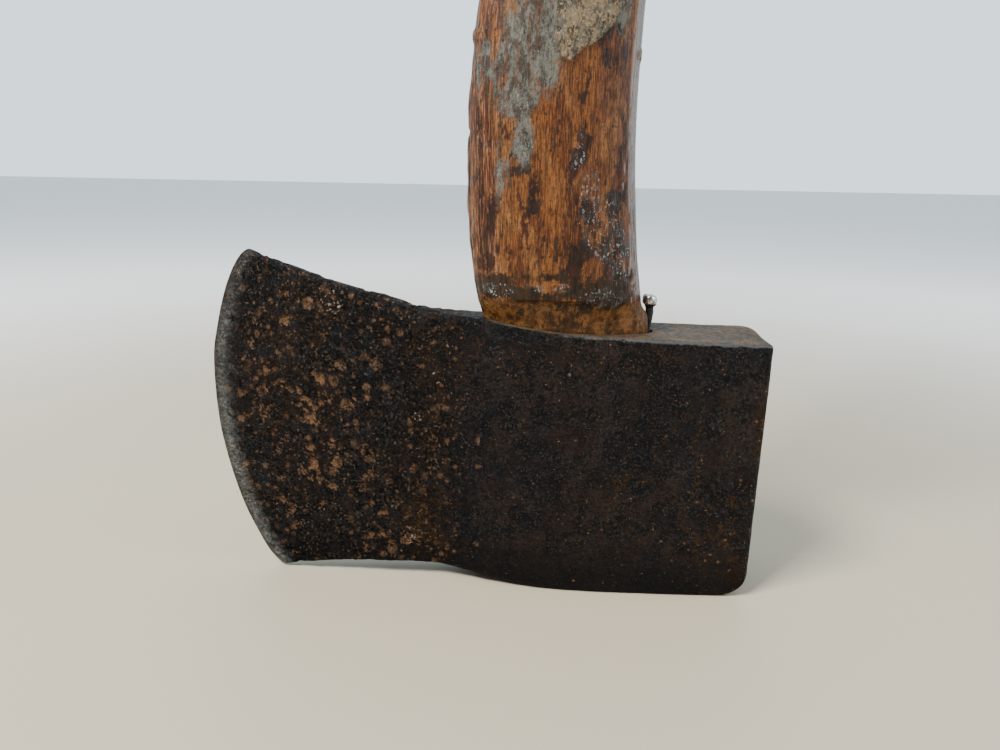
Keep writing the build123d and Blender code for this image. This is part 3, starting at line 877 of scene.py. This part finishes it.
class Paint:
    """One material, built a node at a time; each method returns an output to build on."""

    def __init__(self, name):
        self.material = bpy.data.materials.new(name)
        self.material.use_nodes = True
        self.nodes = self.material.node_tree.nodes
        self.links = self.material.node_tree.links
        self.shader = self.nodes["Principled BSDF"]
        self.place = self.nodes.new("ShaderNodeTexCoord").outputs["Object"]
        self.seed = 0

    def plug(self, value, socket):
        """Joins an output to a socket, or sets the socket where the value is a constant."""
        if isinstance(value, bpy.types.NodeSocket):
            self.links.new(value, socket)
        elif isinstance(value, tuple):
            socket.default_value = (*value, 1)
        else:
            socket.default_value = value

    def set(self, **values):
        """Sets or joins the shader's sockets, named with _ for each space."""
        for name, value in values.items():
            self.plug(value, self.shader.inputs[name.replace("_", " ")])

    def attribute(self, name):
        """A float that the piece holds at each of its points."""
        node = self.nodes.new("ShaderNodeAttribute")
        node.attribute_name = name
        return node.outputs["Fac"]

    def units(self, size, stretch):
        """Coordinates in units of a size, drawn out along each axis and moved by a new seed."""
        self.seed += 1
        node = self.nodes.new("ShaderNodeVectorMath")
        node.operation = "MULTIPLY_ADD"
        self.links.new(self.place, node.inputs[0])
        node.inputs[1].default_value = [1 / (size * MM * s) for s in stretch]
        node.inputs[2].default_value = [self.seed * s for s in SEED_STEP]
        return node.outputs["Vector"]

    def noise(self, size, detail=3, roughness=0.55, stretch=(1, 1, 1)):
        """Cloudy noise about 0.5, with features of about that many millimetres."""
        node = self.nodes.new("ShaderNodeTexNoise")
        self.links.new(self.units(size, stretch), node.inputs["Vector"])
        node.inputs["Scale"].default_value = 1
        node.inputs["Detail"].default_value = detail
        node.inputs["Roughness"].default_value = roughness
        return node.outputs[0]

    def height(self):
        """Height above the floor, in metres."""
        node = self.nodes.new("ShaderNodeSeparateXYZ")
        self.links.new(self.place, node.inputs[0])
        return node.outputs[2]

    def distance(self):
        """Distance from the frame's origin, in metres."""
        node = self.nodes.new("ShaderNodeVectorMath")
        node.operation = "LENGTH"
        self.links.new(self.place, node.inputs[0])
        return node.outputs["Value"]

    def maths(self, operation, a, b=0.0):
        """A sum, product or other operation on two values."""
        node = self.nodes.new("ShaderNodeMath")
        node.operation = operation
        self.plug(a, node.inputs[0])
        self.plug(b, node.inputs[1])
        return node.outputs[0]

    def step(self, value, start, end, low=0.0, high=1.0):
        """Smooth step from low to high between start and end; start may be the larger."""
        node = self.nodes.new("ShaderNodeMapRange")
        node.interpolation_type = "SMOOTHSTEP"
        for name, number in (("Value", value), ("From Min", start), ("From Max", end)):
            self.plug(number, node.inputs[name])
        self.plug(low, node.inputs["To Min"])
        self.plug(high, node.inputs["To Max"])
        return node.outputs[0]

    def spread(self, mask, breaker, strength=0.9, start=0.42, end=0.58):
        """A soft mask broken up by noise, with a ragged edge."""
        jitter = self.maths("MULTIPLY", self.maths("SUBTRACT", breaker, 0.5), strength * 2)
        return self.step(self.maths("ADD", mask, jitter), start, end)

    def spots(self, size, radius, share, ragged=None):
        """Scattered spots: one may stand in each cell of a size, and a share of them do."""
        node = self.nodes.new("ShaderNodeTexVoronoi")
        self.links.new(self.units(size, (1, 1, 1)), node.inputs["Vector"])
        node.inputs["Scale"].default_value = 1
        split = self.nodes.new("ShaderNodeSeparateColor")
        self.links.new(node.outputs["Color"], split.inputs[0])
        chosen = self.maths("GREATER_THAN", share, split.outputs[0])
        own_radius = self.maths("MULTIPLY", split.outputs[1], radius)
        distance = node.outputs["Distance"]
        if ragged is not None:
            jitter = self.maths("MULTIPLY", self.maths("SUBTRACT", ragged, 0.5), radius * 2.2)
            distance = self.maths("ADD", distance, jitter)
        past_rim = self.maths("SUBTRACT", distance, own_radius)
        inside = self.step(past_rim, radius * 0.35, -radius * 0.25)
        return self.maths("MULTIPLY", inside, chosen)

    def flecks(self, size, density, rare=0.80, common=0.58, stretch=(1, 1, 1)):
        """Irregular flecks: what noise of a size leaves above a line that density lowers."""
        line = self.step(density, 0, 1, rare, common)
        above = self.maths("SUBTRACT", self.noise(size, 2, 0.6, stretch), line)
        return self.step(above, 0.0, 0.035)

    def blend(self, share, a, b):
        """One colour over another by a share."""
        node = self.nodes.new("ShaderNodeMix")
        node.data_type = "RGBA"
        self.plug(share, node.inputs[0])
        self.plug(a, node.inputs[6])
        self.plug(b, node.inputs[7])
        return node.outputs[2]

    def mix(self, share, a, b):
        """One number over another by a share."""
        node = self.nodes.new("ShaderNodeMix")
        self.plug(share, node.inputs[0])
        self.plug(a, node.inputs[2])
        self.plug(b, node.inputs[3])
        return node.outputs[0]

    def bump(self, height, depth, under=None):
        """A surface raised by height times depth in millimetres, on top of another bump."""
        node = self.nodes.new("ShaderNodeBump")
        node.inputs["Strength"].default_value = 1
        node.inputs["Distance"].default_value = depth * MM
        self.plug(height, node.inputs["Height"])
        if under is not None:
            self.links.new(under, node.inputs["Normal"])
        return node.outputs["Normal"]


BLUE_BLACK = (0.0040, 0.0052, 0.0075)
BROWN_BLACK = (0.0180, 0.0108, 0.0095)
# near black, for soot in the patina and for painted shade low on the head
SOOT_AND_SHADE = (0.0004, 0.0004, 0.0005)
PURPLE_BROWN = (0.034, 0.022, 0.021)
SLATE_SHEEN = (0.016, 0.021, 0.028)
REDDISH_BLACK = (0.012, 0.0048, 0.0030)
# dust colours, which on the blade also paint highlights on the raised grit
DUST_AND_HIGHLIGHT_GREY = (0.062, 0.060, 0.057)
DUST_AND_HIGHLIGHT_BROWN = (0.045, 0.030, 0.020)
HAZE_BROWN = (0.050, 0.026, 0.009)
RUST_ORANGE = (0.26, 0.130, 0.062)
RUST_BROWN = (0.088, 0.046, 0.024)
TAN = (0.30, 0.195, 0.115)
CREAM = (0.50, 0.45, 0.37)
WORN_STEEL = (0.34, 0.34, 0.32)
DULL_STEEL = (0.060, 0.062, 0.062)
EDGE_BROWN = (0.036, 0.021, 0.014)
WORN_RIM = (0.105, 0.113, 0.118)
TOP_RUST = (0.062, 0.049, 0.035)
TOP_TAN = (0.12, 0.078, 0.047)
TOP_ORANGE = (0.15, 0.070, 0.034)
TOP_DIRT = (0.025, 0.017, 0.011)
SPOT_SIZES = (                  # cell in mm, radius, share on the cheeks, share on the blade
    (3.1, 0.34, 0.0, 0.40), (2.1, 0.36, 0.01, 0.40), (1.2, 0.34, 0.05, 0.38),
)


def forged_steel_paint():
    """Old forged steel: blue-black to brown patina, rust in its pits, bare along the bit, with painted
    shade low down by the floor and painted highlights and sheen on the blade.
    """
    paint = Paint("forged_steel_patina")
    broad = paint.noise(17, 3)
    cloud = paint.noise(5, 6, 0.68)
    blotch = paint.noise(3.2, 5, 0.68)
    grain = paint.noise(1.3, 5, 0.68)
    grit = paint.noise(0.55, 3, 0.65)
    blade = paint.attribute("blade")
    edge = paint.attribute("from_edge")
    centred_blotch = paint.maths("SUBTRACT", blotch, 0.5)
    patina = paint.blend(paint.step(broad, 0.44, 0.56), BLUE_BLACK, BROWN_BLACK)
    patina = paint.blend(paint.step(cloud, 0.46, 0.55, 0, 0.97), patina, SOOT_AND_SHADE)
    purple = paint.step(paint.noise(6, 6, 0.72), 0.52, 0.60)
    purple = paint.maths("MULTIPLY", purple, paint.step(grain, 0.40, 0.56))
    patina = paint.blend(paint.maths("MULTIPLY", purple, 0.7), patina, PURPLE_BROWN)
    # a slate-blue tone on the blade, which also serves as a painted sheen
    slate_sheen = paint.maths("MULTIPLY", paint.step(paint.noise(4, 4, 0.6), 0.52, 0.64), blade)
    patina = paint.blend(paint.maths("MULTIPLY", slate_sheen, 0.6), patina, SLATE_SHEEN)
    # dust on the raised grit, and on the blade also a painted highlight on the grit's tops
    grit_dust_and_highlight = paint.maths("MULTIPLY", paint.step(grit, 0.51, 0.62), paint.step(blade, 0, 1, 0.58, 0.82))
    dust_and_highlight = paint.blend(paint.step(cloud, 0.44, 0.56), DUST_AND_HIGHLIGHT_BROWN, DUST_AND_HIGHLIGHT_GREY)
    patina = paint.blend(grit_dust_and_highlight, patina, dust_and_highlight)
    sooty_pits = paint.step(paint.noise(0.8, 4, 0.7), 0.49, 0.42, 0, 0.85)
    patina = paint.blend(sooty_pits, patina, SOOT_AND_SHADE)
    haze_noise = paint.maths("ADD", grit, centred_blotch)
    haze = paint.spread(paint.attribute("haze"), haze_noise, 1.7, 0.45, 1.15)
    patina = paint.blend(paint.maths("MULTIPLY", haze, 0.88), patina, HAZE_BROWN)
    # painted shade: the steel darkens towards the crown that rests on the floor
    painted_shade_low = paint.step(paint.height(), 18 * MM, 0.0, 0, 0.9)
    patina = paint.blend(painted_shade_low, patina, SOOT_AND_SHADE)
    reddish = paint.step(paint.noise(9, 4, 0.6), 0.53, 0.63, 0, 0.4)
    patina = paint.blend(reddish, patina, REDDISH_BLACK)
    fresh = paint.step(paint.noise(2.2, 3, 0.6), 0.42, 0.60)
    rust_colour = paint.blend(fresh, RUST_BROWN, RUST_ORANGE)
    rust_colour = paint.blend(paint.step(grit, 0.50, 0.60, 0, 0.6), rust_colour, TAN)
    ragged = paint.maths("ADD", grit, paint.maths("SUBTRACT", grain, 0.5))
    rust = paint.spread(paint.attribute("rust"), ragged, 0.5, 0.24, 0.62)
    patina = paint.blend(paint.maths("MULTIPLY", rust, 0.85), patina, rust_colour)
    for size, radius, on_cheek, on_blade in SPOT_SIZES:
        share = paint.step(blade, 0, 1, on_cheek, on_blade)
        small_rust = paint.spots(size, radius, share, ragged)
        patina = paint.blend(paint.maths("MULTIPLY", small_rust, 0.62), patina, rust_colour)
    part_haze = paint.maths("MULTIPLY", haze, 0.5)
    hazy_blade = paint.maths("ADD", paint.maths("MULTIPLY", blade, 0.7), part_haze)
    tan_flecks = paint.flecks(0.75, hazy_blade, 0.70, 0.625)
    patina = paint.blend(paint.maths("MULTIPLY", tan_flecks, 0.6), patina, TAN)
    dings = paint.flecks(1.0, paint.attribute("dings"), 0.84, 0.605)
    patina = paint.blend(paint.maths("MULTIPLY", dings, 0.85), patina, CREAM)
    reach = paint.maths("ADD", edge, paint.maths("MULTIPLY", centred_blotch, 12))
    centred_grain = paint.maths("SUBTRACT", grain, 0.5)
    reach = paint.maths("ADD", reach, paint.maths("MULTIPLY", centred_grain, 7))
    bare = paint.maths("MULTIPLY", paint.step(reach, 5.8, 1.0), paint.attribute("sharpened"))
    scratches = paint.noise(0.6, 4, 0.65, (2, 1, 1))
    bare_colour = paint.blend(paint.step(scratches, 0.34, 0.60), DULL_STEEL, WORN_STEEL)
    bare_colour = paint.blend(paint.step(blotch, 0.44, 0.56, 0.75, 0), bare_colour, DULL_STEEL)
    patina = paint.blend(bare, patina, bare_colour)
    in_blotches = paint.step(blotch, 0.44, 0.56, 0, 0.8)
    brown_edge = paint.maths("MULTIPLY", paint.step(edge, 2.2, 0.5), in_blotches)
    patina = paint.blend(brown_edge, patina, EDGE_BROWN)
    rim = paint.spread(paint.attribute("rim"), blotch, 0.8, 0.45, 0.95)
    patina = paint.blend(paint.maths("MULTIPLY", rim, 0.8), patina, WORN_RIM)
    upper = paint.spread(paint.attribute("upper"), blotch, 0.35, 0.35, 0.6)
    top_colour = paint.blend(paint.step(cloud, 0.44, 0.58), TOP_RUST, TOP_TAN)
    top_colour = paint.blend(paint.step(blotch, 0.55, 0.64, 0, 0.6), top_colour, TOP_ORANGE)
    top_colour = paint.blend(paint.step(grit, 0.50, 0.62, 0, 0.6), top_colour, TOP_DIRT)
    patina = paint.blend(paint.maths("MULTIPLY", upper, 0.9), patina, top_colour)
    rusty = paint.maths("MAXIMUM", rust, haze)
    gloss = paint.mix(rusty, paint.step(grain, 0.40, 0.60, 0.44, 0.64), 0.85)
    paint.set(Base_Color=patina, Metallic=paint.maths("MULTIPLY", bare, 0.7))
    sparkle = paint.maths("MULTIPLY", paint.step(grain, 0.46, 0.60), paint.step(blade, 0.3, 1.0))
    gloss = paint.mix(sparkle, gloss, 0.32)
    paint.set(Roughness=paint.mix(bare, gloss, 0.42), Specular_IOR_Level=0.11)
    relief = paint.step(blade, 0, 1, 0.35, 1.0)
    surface = paint.bump(paint.maths("MULTIPLY", grain, relief), 4.5)
    surface = paint.bump(paint.maths("MULTIPLY", grit, relief), 2.2, surface)
    pits = paint.flecks(1.1, blade, 0.70, 0.56)
    surface = paint.bump(paint.maths("MULTIPLY", pits, -1.0), 0.22, surface)
    paint.set(Normal=surface)
    return paint.material


AMBER = (0.165, 0.055, 0.0125)
PALE_AMBER = (0.27, 0.115, 0.036)
RED_BROWN = (0.085, 0.022, 0.006)
DARK_BROWN = (0.020, 0.0075, 0.0030)
PORE = (0.007, 0.0035, 0.002)
PINKISH_TAN = (0.30, 0.165, 0.105)
WEATHERED_GREY = (0.130, 0.135, 0.115)
WEATHERED_DARK = (0.030, 0.030, 0.027)
BEIGE = (0.205, 0.150, 0.090)
SILVER = (0.32, 0.33, 0.33)
STAIN_BLACK = (0.008, 0.005, 0.004)
STAIN_RED = (0.024, 0.006, 0.0035)
TONGUE_TAN = (0.195, 0.082, 0.022)
TONGUE_BROWN = (0.080, 0.031, 0.008)
TONGUE_SMEAR = (0.014, 0.006, 0.002)
TONGUE_DARK = (0.024, 0.010, 0.003)
BAND_BLACK = (0.006, 0.004, 0.002)
BAND_BROWN = (0.022, 0.012, 0.005)
CRUST_GREY = (0.085, 0.085, 0.066)
CRUST_HOLLOW = (0.030, 0.022, 0.014)
CRUST_CREAM = (0.33, 0.27, 0.18)
FILM_GREY = (0.060, 0.062, 0.060)
SPECK_GREY = (0.13, 0.135, 0.135)
STRIP_DARK = (0.030, 0.016, 0.011)
# pale pinkish grey, painted as a sheen on the rear facet
SHEEN_PINK = (0.105, 0.078, 0.064)
# colour of the painted highlight along the arris
ARRIS_HIGHLIGHT = (0.44, 0.39, 0.36)
SPECK_SIZES = ((0.9, 0.63), (0.45, 0.61))       # cell in mm, and how rare they are


def haft_wood_paint():
    """Old handled wood: warm grain, dark pores, weathered grey, dried crust, soot and specks, with a
    painted sheen and a painted highlight along the rear facet.
    """
    paint = Paint("haft_wood_weathered")
    slow = paint.noise(7, 3, 0.5, (1, 1, 6))
    grain = paint.noise(1.2, 5, 0.7, (1, 1, 16))
    fibre = paint.noise(0.75, 3, 0.6, (1, 1, 24))
    pores = paint.noise(0.38, 2, 0.5, (1, 1, 7))
    mottle = paint.noise(2.4, 5, 0.68)
    smear = paint.noise(3.0, 7, 0.72, (1, 1, 2.2))
    lumpy = paint.noise(2.2, 8, 0.85, (1, 1, 1.8))
    fine = paint.noise(0.6, 4, 0.65)
    patchy = paint.noise(6, 4, 0.6, (1, 1, 2))
    wood = paint.blend(paint.step(slow, 0.40, 0.60), AMBER, RED_BROWN)
    wood = paint.blend(paint.step(patchy, 0.48, 0.62, 0, 0.7), wood, PALE_AMBER)
    wood = paint.blend(paint.step(grain, 0.47, 0.62, 0, 0.6), wood, DARK_BROWN)
    wood = paint.blend(paint.step(smear, 0.50, 0.66, 0, 0.55), wood, DARK_BROWN)
    wood = paint.blend(paint.step(fine, 0.50, 0.64, 0, 0.4), wood, DARK_BROWN)
    wood = paint.blend(paint.step(pores, 0.54, 0.64, 0, 0.6), wood, PORE)
    thread = paint.noise(0.32, 3, 0.7, (1, 1, 9))
    wood = paint.blend(paint.step(thread, 0.50, 0.60, 0, 0.55), wood, DARK_BROWN)
    wood = paint.blend(paint.step(thread, 0.49, 0.40, 0, 0.35), wood, PALE_AMBER)
    ray_flecks = paint.noise(0.45, 3, 0.6, (5, 5, 1))
    wood = paint.blend(paint.step(ray_flecks, 0.51, 0.60, 0, 0.30), wood, RED_BROWN)
    coarse = paint.attribute("coarse")
    thin_fibre = paint.noise(0.5, 4, 0.65, (1, 1, 12))
    light_fibre = paint.maths("MULTIPLY", paint.step(thin_fibre, 0.53, 0.62), coarse)
    wood = paint.blend(paint.maths("MULTIPLY", light_fibre, 0.45), wood, PINKISH_TAN)
    dark_fibre = paint.maths("MULTIPLY", paint.step(fibre, 0.50, 0.43), coarse)
    wood = paint.blend(paint.maths("MULTIPLY", dark_fibre, 0.75), wood, PORE)
    centred_lumps = paint.maths("SUBTRACT", lumpy, 0.5)
    broken = paint.maths("ADD", smear, paint.maths("MULTIPLY", centred_lumps, 0.9))
    stain = paint.spread(paint.attribute("stain"), broken, 1.8, 0.36, 0.70)
    stain_colour = paint.blend(paint.step(patchy, 0.42, 0.58), STAIN_BLACK, STAIN_RED)
    wood = paint.blend(paint.maths("MULTIPLY", stain, 0.9), wood, stain_colour)
    tongue = paint.attribute("tongue")
    tongue_wood = paint.blend(paint.step(mottle, 0.43, 0.58), TONGUE_TAN, TONGUE_BROWN)
    tongue_wood = paint.blend(paint.step(smear, 0.49, 0.60, 0, 0.8), tongue_wood, TONGUE_SMEAR)
    tongue_wood = paint.blend(paint.step(fine, 0.50, 0.62, 0, 0.5), tongue_wood, TONGUE_DARK)
    wood = paint.blend(tongue, wood, tongue_wood)
    band = paint.spread(paint.attribute("band"), mottle, 1.3, 0.25, 0.70)
    band_colour = paint.blend(paint.step(grain, 0.44, 0.56), BAND_BLACK, BAND_BROWN)
    wood = paint.blend(paint.maths("MULTIPLY", band, 0.93), wood, band_colour)
    grey = paint.spread(paint.attribute("grey"), smear, 1.1, 0.26, 0.62)
    grey_colour = paint.blend(paint.step(lumpy, 0.43, 0.57), WEATHERED_DARK, WEATHERED_GREY)
    grey_colour = paint.blend(paint.step(fibre, 0.54, 0.64, 0, 0.45), grey_colour, RED_BROWN)
    wood = paint.blend(paint.maths("MULTIPLY", grey, 0.88), wood, grey_colour)
    centred_mottle = paint.maths("SUBTRACT", mottle, 0.5)
    crust = paint.step(paint.maths("ADD", paint.attribute("crust"), centred_mottle), 0.25, 0.55)
    crust_colour = paint.blend(paint.step(mottle, 0.40, 0.58), CRUST_GREY, BEIGE)
    crust_colour = paint.blend(paint.step(lumpy, 0.47, 0.55, 0, 0.92), crust_colour, CRUST_HOLLOW)
    crust_colour = paint.blend(paint.step(fine, 0.54, 0.64, 0, 0.7), crust_colour, CRUST_CREAM)
    wood = paint.blend(paint.maths("MULTIPLY", crust, 0.93), wood, crust_colour)
    silver = paint.spread(paint.attribute("silver"), smear, 1.0, 0.30, 0.75)
    film = paint.maths("MULTIPLY", silver, paint.step(lumpy, 0.50, 0.60, 0, 0.6))
    wood = paint.blend(film, wood, FILM_GREY)
    speck_colour = paint.blend(paint.step(mottle, 0.42, 0.58), SPECK_GREY, SILVER)
    for size, common in SPECK_SIZES:
        specks = paint.flecks(size, silver, 0.80, common, (1, 1, 1.5))
        wood = paint.blend(paint.maths("MULTIPLY", specks, 0.7), wood, speck_colour)
    dark_spots = paint.flecks(1.3, 0.5, 0.64, 0.64, (1, 1, 1.6))
    wood = paint.blend(paint.maths("MULTIPLY", dark_spots, 0.7), wood, PORE)
    end_grain = paint.attribute("end_grain")
    wood = paint.blend(paint.maths("MULTIPLY", end_grain, 0.6), wood, paint.blend(fine, PORE, RED_BROWN))
    # painted sheen: a pale pinkish-grey strip along the rear facet, mixed with its dark fibres
    gloss = paint.attribute("gloss")
    facet_sheen = paint.blend(paint.step(fibre, 0.42, 0.58), STRIP_DARK, SHEEN_PINK)
    wood = paint.blend(paint.maths("MULTIPLY", gloss, 0.55), wood, facet_sheen)
    # painted highlight: a pale line along the arris beside the rear facet
    arris_highlight = paint.maths("MULTIPLY", paint.attribute("arris_highlight"), paint.step(smear, 0.38, 0.54))
    wood = paint.blend(paint.maths("MULTIPLY", arris_highlight, 0.5), wood, ARRIS_HIGHLIGHT)
    matt = paint.maths("MAXIMUM", crust, grey)
    roughness = paint.mix(matt, paint.step(grain, 0.40, 0.60, 0.36, 0.56), 0.85)
    paint.set(Base_Color=wood, Roughness=paint.mix(gloss, roughness, 0.20), Specular_IOR_Level=0.20)
    surface = paint.bump(grain, 0.35)
    surface = paint.bump(paint.maths("MULTIPLY", pores, -1.0), 0.12, surface)
    surface = paint.bump(paint.maths("MULTIPLY", fine, paint.step(matt, 0, 1, 0.3, 1.0)), 0.22, surface)
    surface = paint.bump(mottle, 0.25, surface)
    paint.set(Normal=surface)
    return paint.material


WEDGE_PALE = (0.26, 0.15, 0.065)
WEDGE_BROWN = (0.10, 0.05, 0.022)
WEDGE_DIRT = (0.03, 0.018, 0.010)


def wedge_wood_paint():
    """Pale end grain of the wooden wedge, dirty from use."""
    paint = Paint("wedge_wood")
    grain = paint.noise(0.9, 4, 0.6, (1, 1, 14))
    fine = paint.noise(0.4, 3, 0.6)
    wood = paint.blend(paint.step(grain, 0.38, 0.62), WEDGE_PALE, WEDGE_BROWN)
    wood = paint.blend(paint.step(fine, 0.5, 0.7, 0, 0.6), wood, WEDGE_DIRT)
    paint.set(Base_Color=wood, Roughness=paint.step(fine, 0.3, 0.7, 0.55, 0.8))
    paint.set(Normal=paint.bump(grain, 0.12))
    return paint.material


BLACK_RUST = (0.004, 0.0035, 0.003)
BROWN_RUST = (0.035, 0.018, 0.010)
STRUCK_DULL = (0.30, 0.28, 0.26)
STRUCK_BRIGHT = (0.66, 0.64, 0.61)
BARE_FADE = 0.4 * MM            # from rust to bare metal, up the nail
BARE_WAVER = 0.6 * MM


def struck_steel_paint(name, bare_height, bare_share):
    """Small steel hardware: black rust, and bare bright metal above a height where struck."""
    paint = Paint(name)
    grain = paint.noise(0.9, 4, 0.65)
    fine = paint.noise(0.3, 3, 0.6)
    waver = paint.maths("MULTIPLY", paint.maths("SUBTRACT", grain, 0.5), BARE_WAVER)
    height = paint.maths("ADD", paint.height(), waver)
    bare = paint.step(height, bare_height, bare_height + BARE_FADE)
    bare = paint.maths("MULTIPLY", bare, bare_share)
    bare = paint.maths("MULTIPLY", bare, paint.step(grain, 0.62, 0.5))
    rusted = paint.blend(paint.step(grain, 0.50, 0.66), BLACK_RUST, BROWN_RUST)
    struck = paint.blend(paint.step(fine, 0.4, 0.6), STRUCK_DULL, STRUCK_BRIGHT)
    colour = paint.blend(bare, rusted, struck)
    paint.set(Base_Color=colour, Metallic=bare, Roughness=paint.mix(bare, 0.7, 0.24))
    paint.set(Normal=paint.bump(fine, 0.05, paint.bump(grain, 0.10)))
    return paint.material


# ---- stage, light and camera -----------------------------------------------------------
ROOM_LIGHT = 0.26               # in front of the hatchet
WALL_LIGHT = 1.85               # behind it
FLOOR_NEAR = (0.39, 0.335, 0.245)
FLOOR_FAR = (0.93, 0.92, 0.90)
FLOOR_REACH = 12.0              # metres from the middle to each side
DAYLIGHT = (0.76, 0.89, 0.97, 1)
CAMERA_PLACE = (4.3 * MM, -186.7 * MM, 108.6 * MM)
CAMERA_PITCH = math.radians(15.2)
CAMERA_ROLL = math.radians(1.1)
LENS = 26.0                     # in mm, as the sensor's width is
SENSOR_WIDTH = 36


def make_stage():
    """A plain pale floor under the hatchet, a pale wall of light behind and a dimmer room."""
    square = [[-1, -1, 0], [1, -1, 0], [1, 1, 0], [-1, 1, 0]]
    corners = np.array(square) * FLOOR_REACH
    floor = make_piece("floor", corners, [[0, 1, 2, 3]], smooth=False)
    paint = Paint("floor_paint")
    colour = paint.blend(paint.step(paint.distance(), 0.15, 0.75), FLOOR_NEAR, FLOOR_FAR)
    paint.set(Base_Color=colour, Roughness=0.6)
    floor.data.materials.append(paint.material)
    world = bpy.data.worlds.new("studio")
    world.use_nodes = True
    nodes, links = world.node_tree.nodes, world.node_tree.links
    split = nodes.new("ShaderNodeSeparateXYZ")
    links.new(nodes.new("ShaderNodeTexCoord").outputs["Generated"], split.inputs[0])
    strength = nodes.new("ShaderNodeMapRange")
    links.new(split.outputs["Y"], strength.inputs["Value"])
    strength.inputs["From Min"].default_value = -0.8
    strength.inputs["From Max"].default_value = 0.8
    strength.inputs["To Min"].default_value = ROOM_LIGHT
    strength.inputs["To Max"].default_value = WALL_LIGHT
    background = nodes["Background"]
    background.inputs["Color"].default_value = DAYLIGHT
    links.new(strength.outputs[0], background.inputs["Strength"])
    bpy.context.scene.world = world


def area_light(name, place, aim, size, power, colour=(1, 1, 1)):
    """A soft square lamp at a place, turned to shine at a point."""
    lamp = bpy.data.lights.new(name, "AREA")
    lamp.size = size
    lamp.energy = power
    lamp.color = colour
    light = bpy.data.objects.new(name, lamp)
    toward = np.array(aim, float) - np.array(place, float)
    light.location = place
    light.rotation_euler = Vector(toward).to_track_quat("-Z", "Y").to_euler()
    bpy.context.scene.collection.objects.link(light)


def make_camera():
    """A wide camera close in front, tipped down at the head, as a phone is held."""
    data = bpy.data.cameras.new("camera")
    data.sensor_width = SENSOR_WIDTH
    data.lens = LENS
    data.clip_start = 0.01
    camera = bpy.data.objects.new("camera", data)
    tipped = Matrix.Rotation(math.pi / 2 - CAMERA_PITCH, 4, "X")
    turned = tipped @ Matrix.Rotation(CAMERA_ROLL, 4, "Z")
    camera.matrix_world = Matrix.Translation(CAMERA_PLACE) @ turned
    bpy.context.scene.collection.objects.link(camera)
    bpy.context.scene.camera = camera


def place(piece, node, slot, paint):
    """Gives a piece its material and puts it where its plain node of the frame stood."""
    piece.data.materials.clear()
    piece.data.materials.append(paint)
    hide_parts(node)
    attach(piece, "root")


make_stage()
area_light("window", (-0.45, -0.35, 0.85), (0, 0, 0.06), 0.30, 24, (1.0, 0.98, 0.95))
area_light("side_window", (0.9, -0.1, 0.45), (0, 0, 0.08), 0.5, 6)
make_camera()

place(make_head(), "head", "forged_steel", forged_steel_paint())
place(make_haft(), "haft", "haft_wood", haft_wood_paint())
place(make_kerf_wedge(), "kerf_wedge", "wedge_wood", wedge_wood_paint())
steel_wedge = driven_in("steel_wedge_plate", steel_rings(0), 0.04 * MM, 73)
place(steel_wedge, "steel_wedge", "wedge_steel", struck_steel_paint("wedge_steel", steel_high.z, 0.0))
nail = driven_in("bent_nail", nail_rings(0), 0.05 * MM, 75)
place(nail, "shim_nail", "nail_steel", struck_steel_paint("nail_steel", nail_high.z - 2.6 * MM, 1.0))
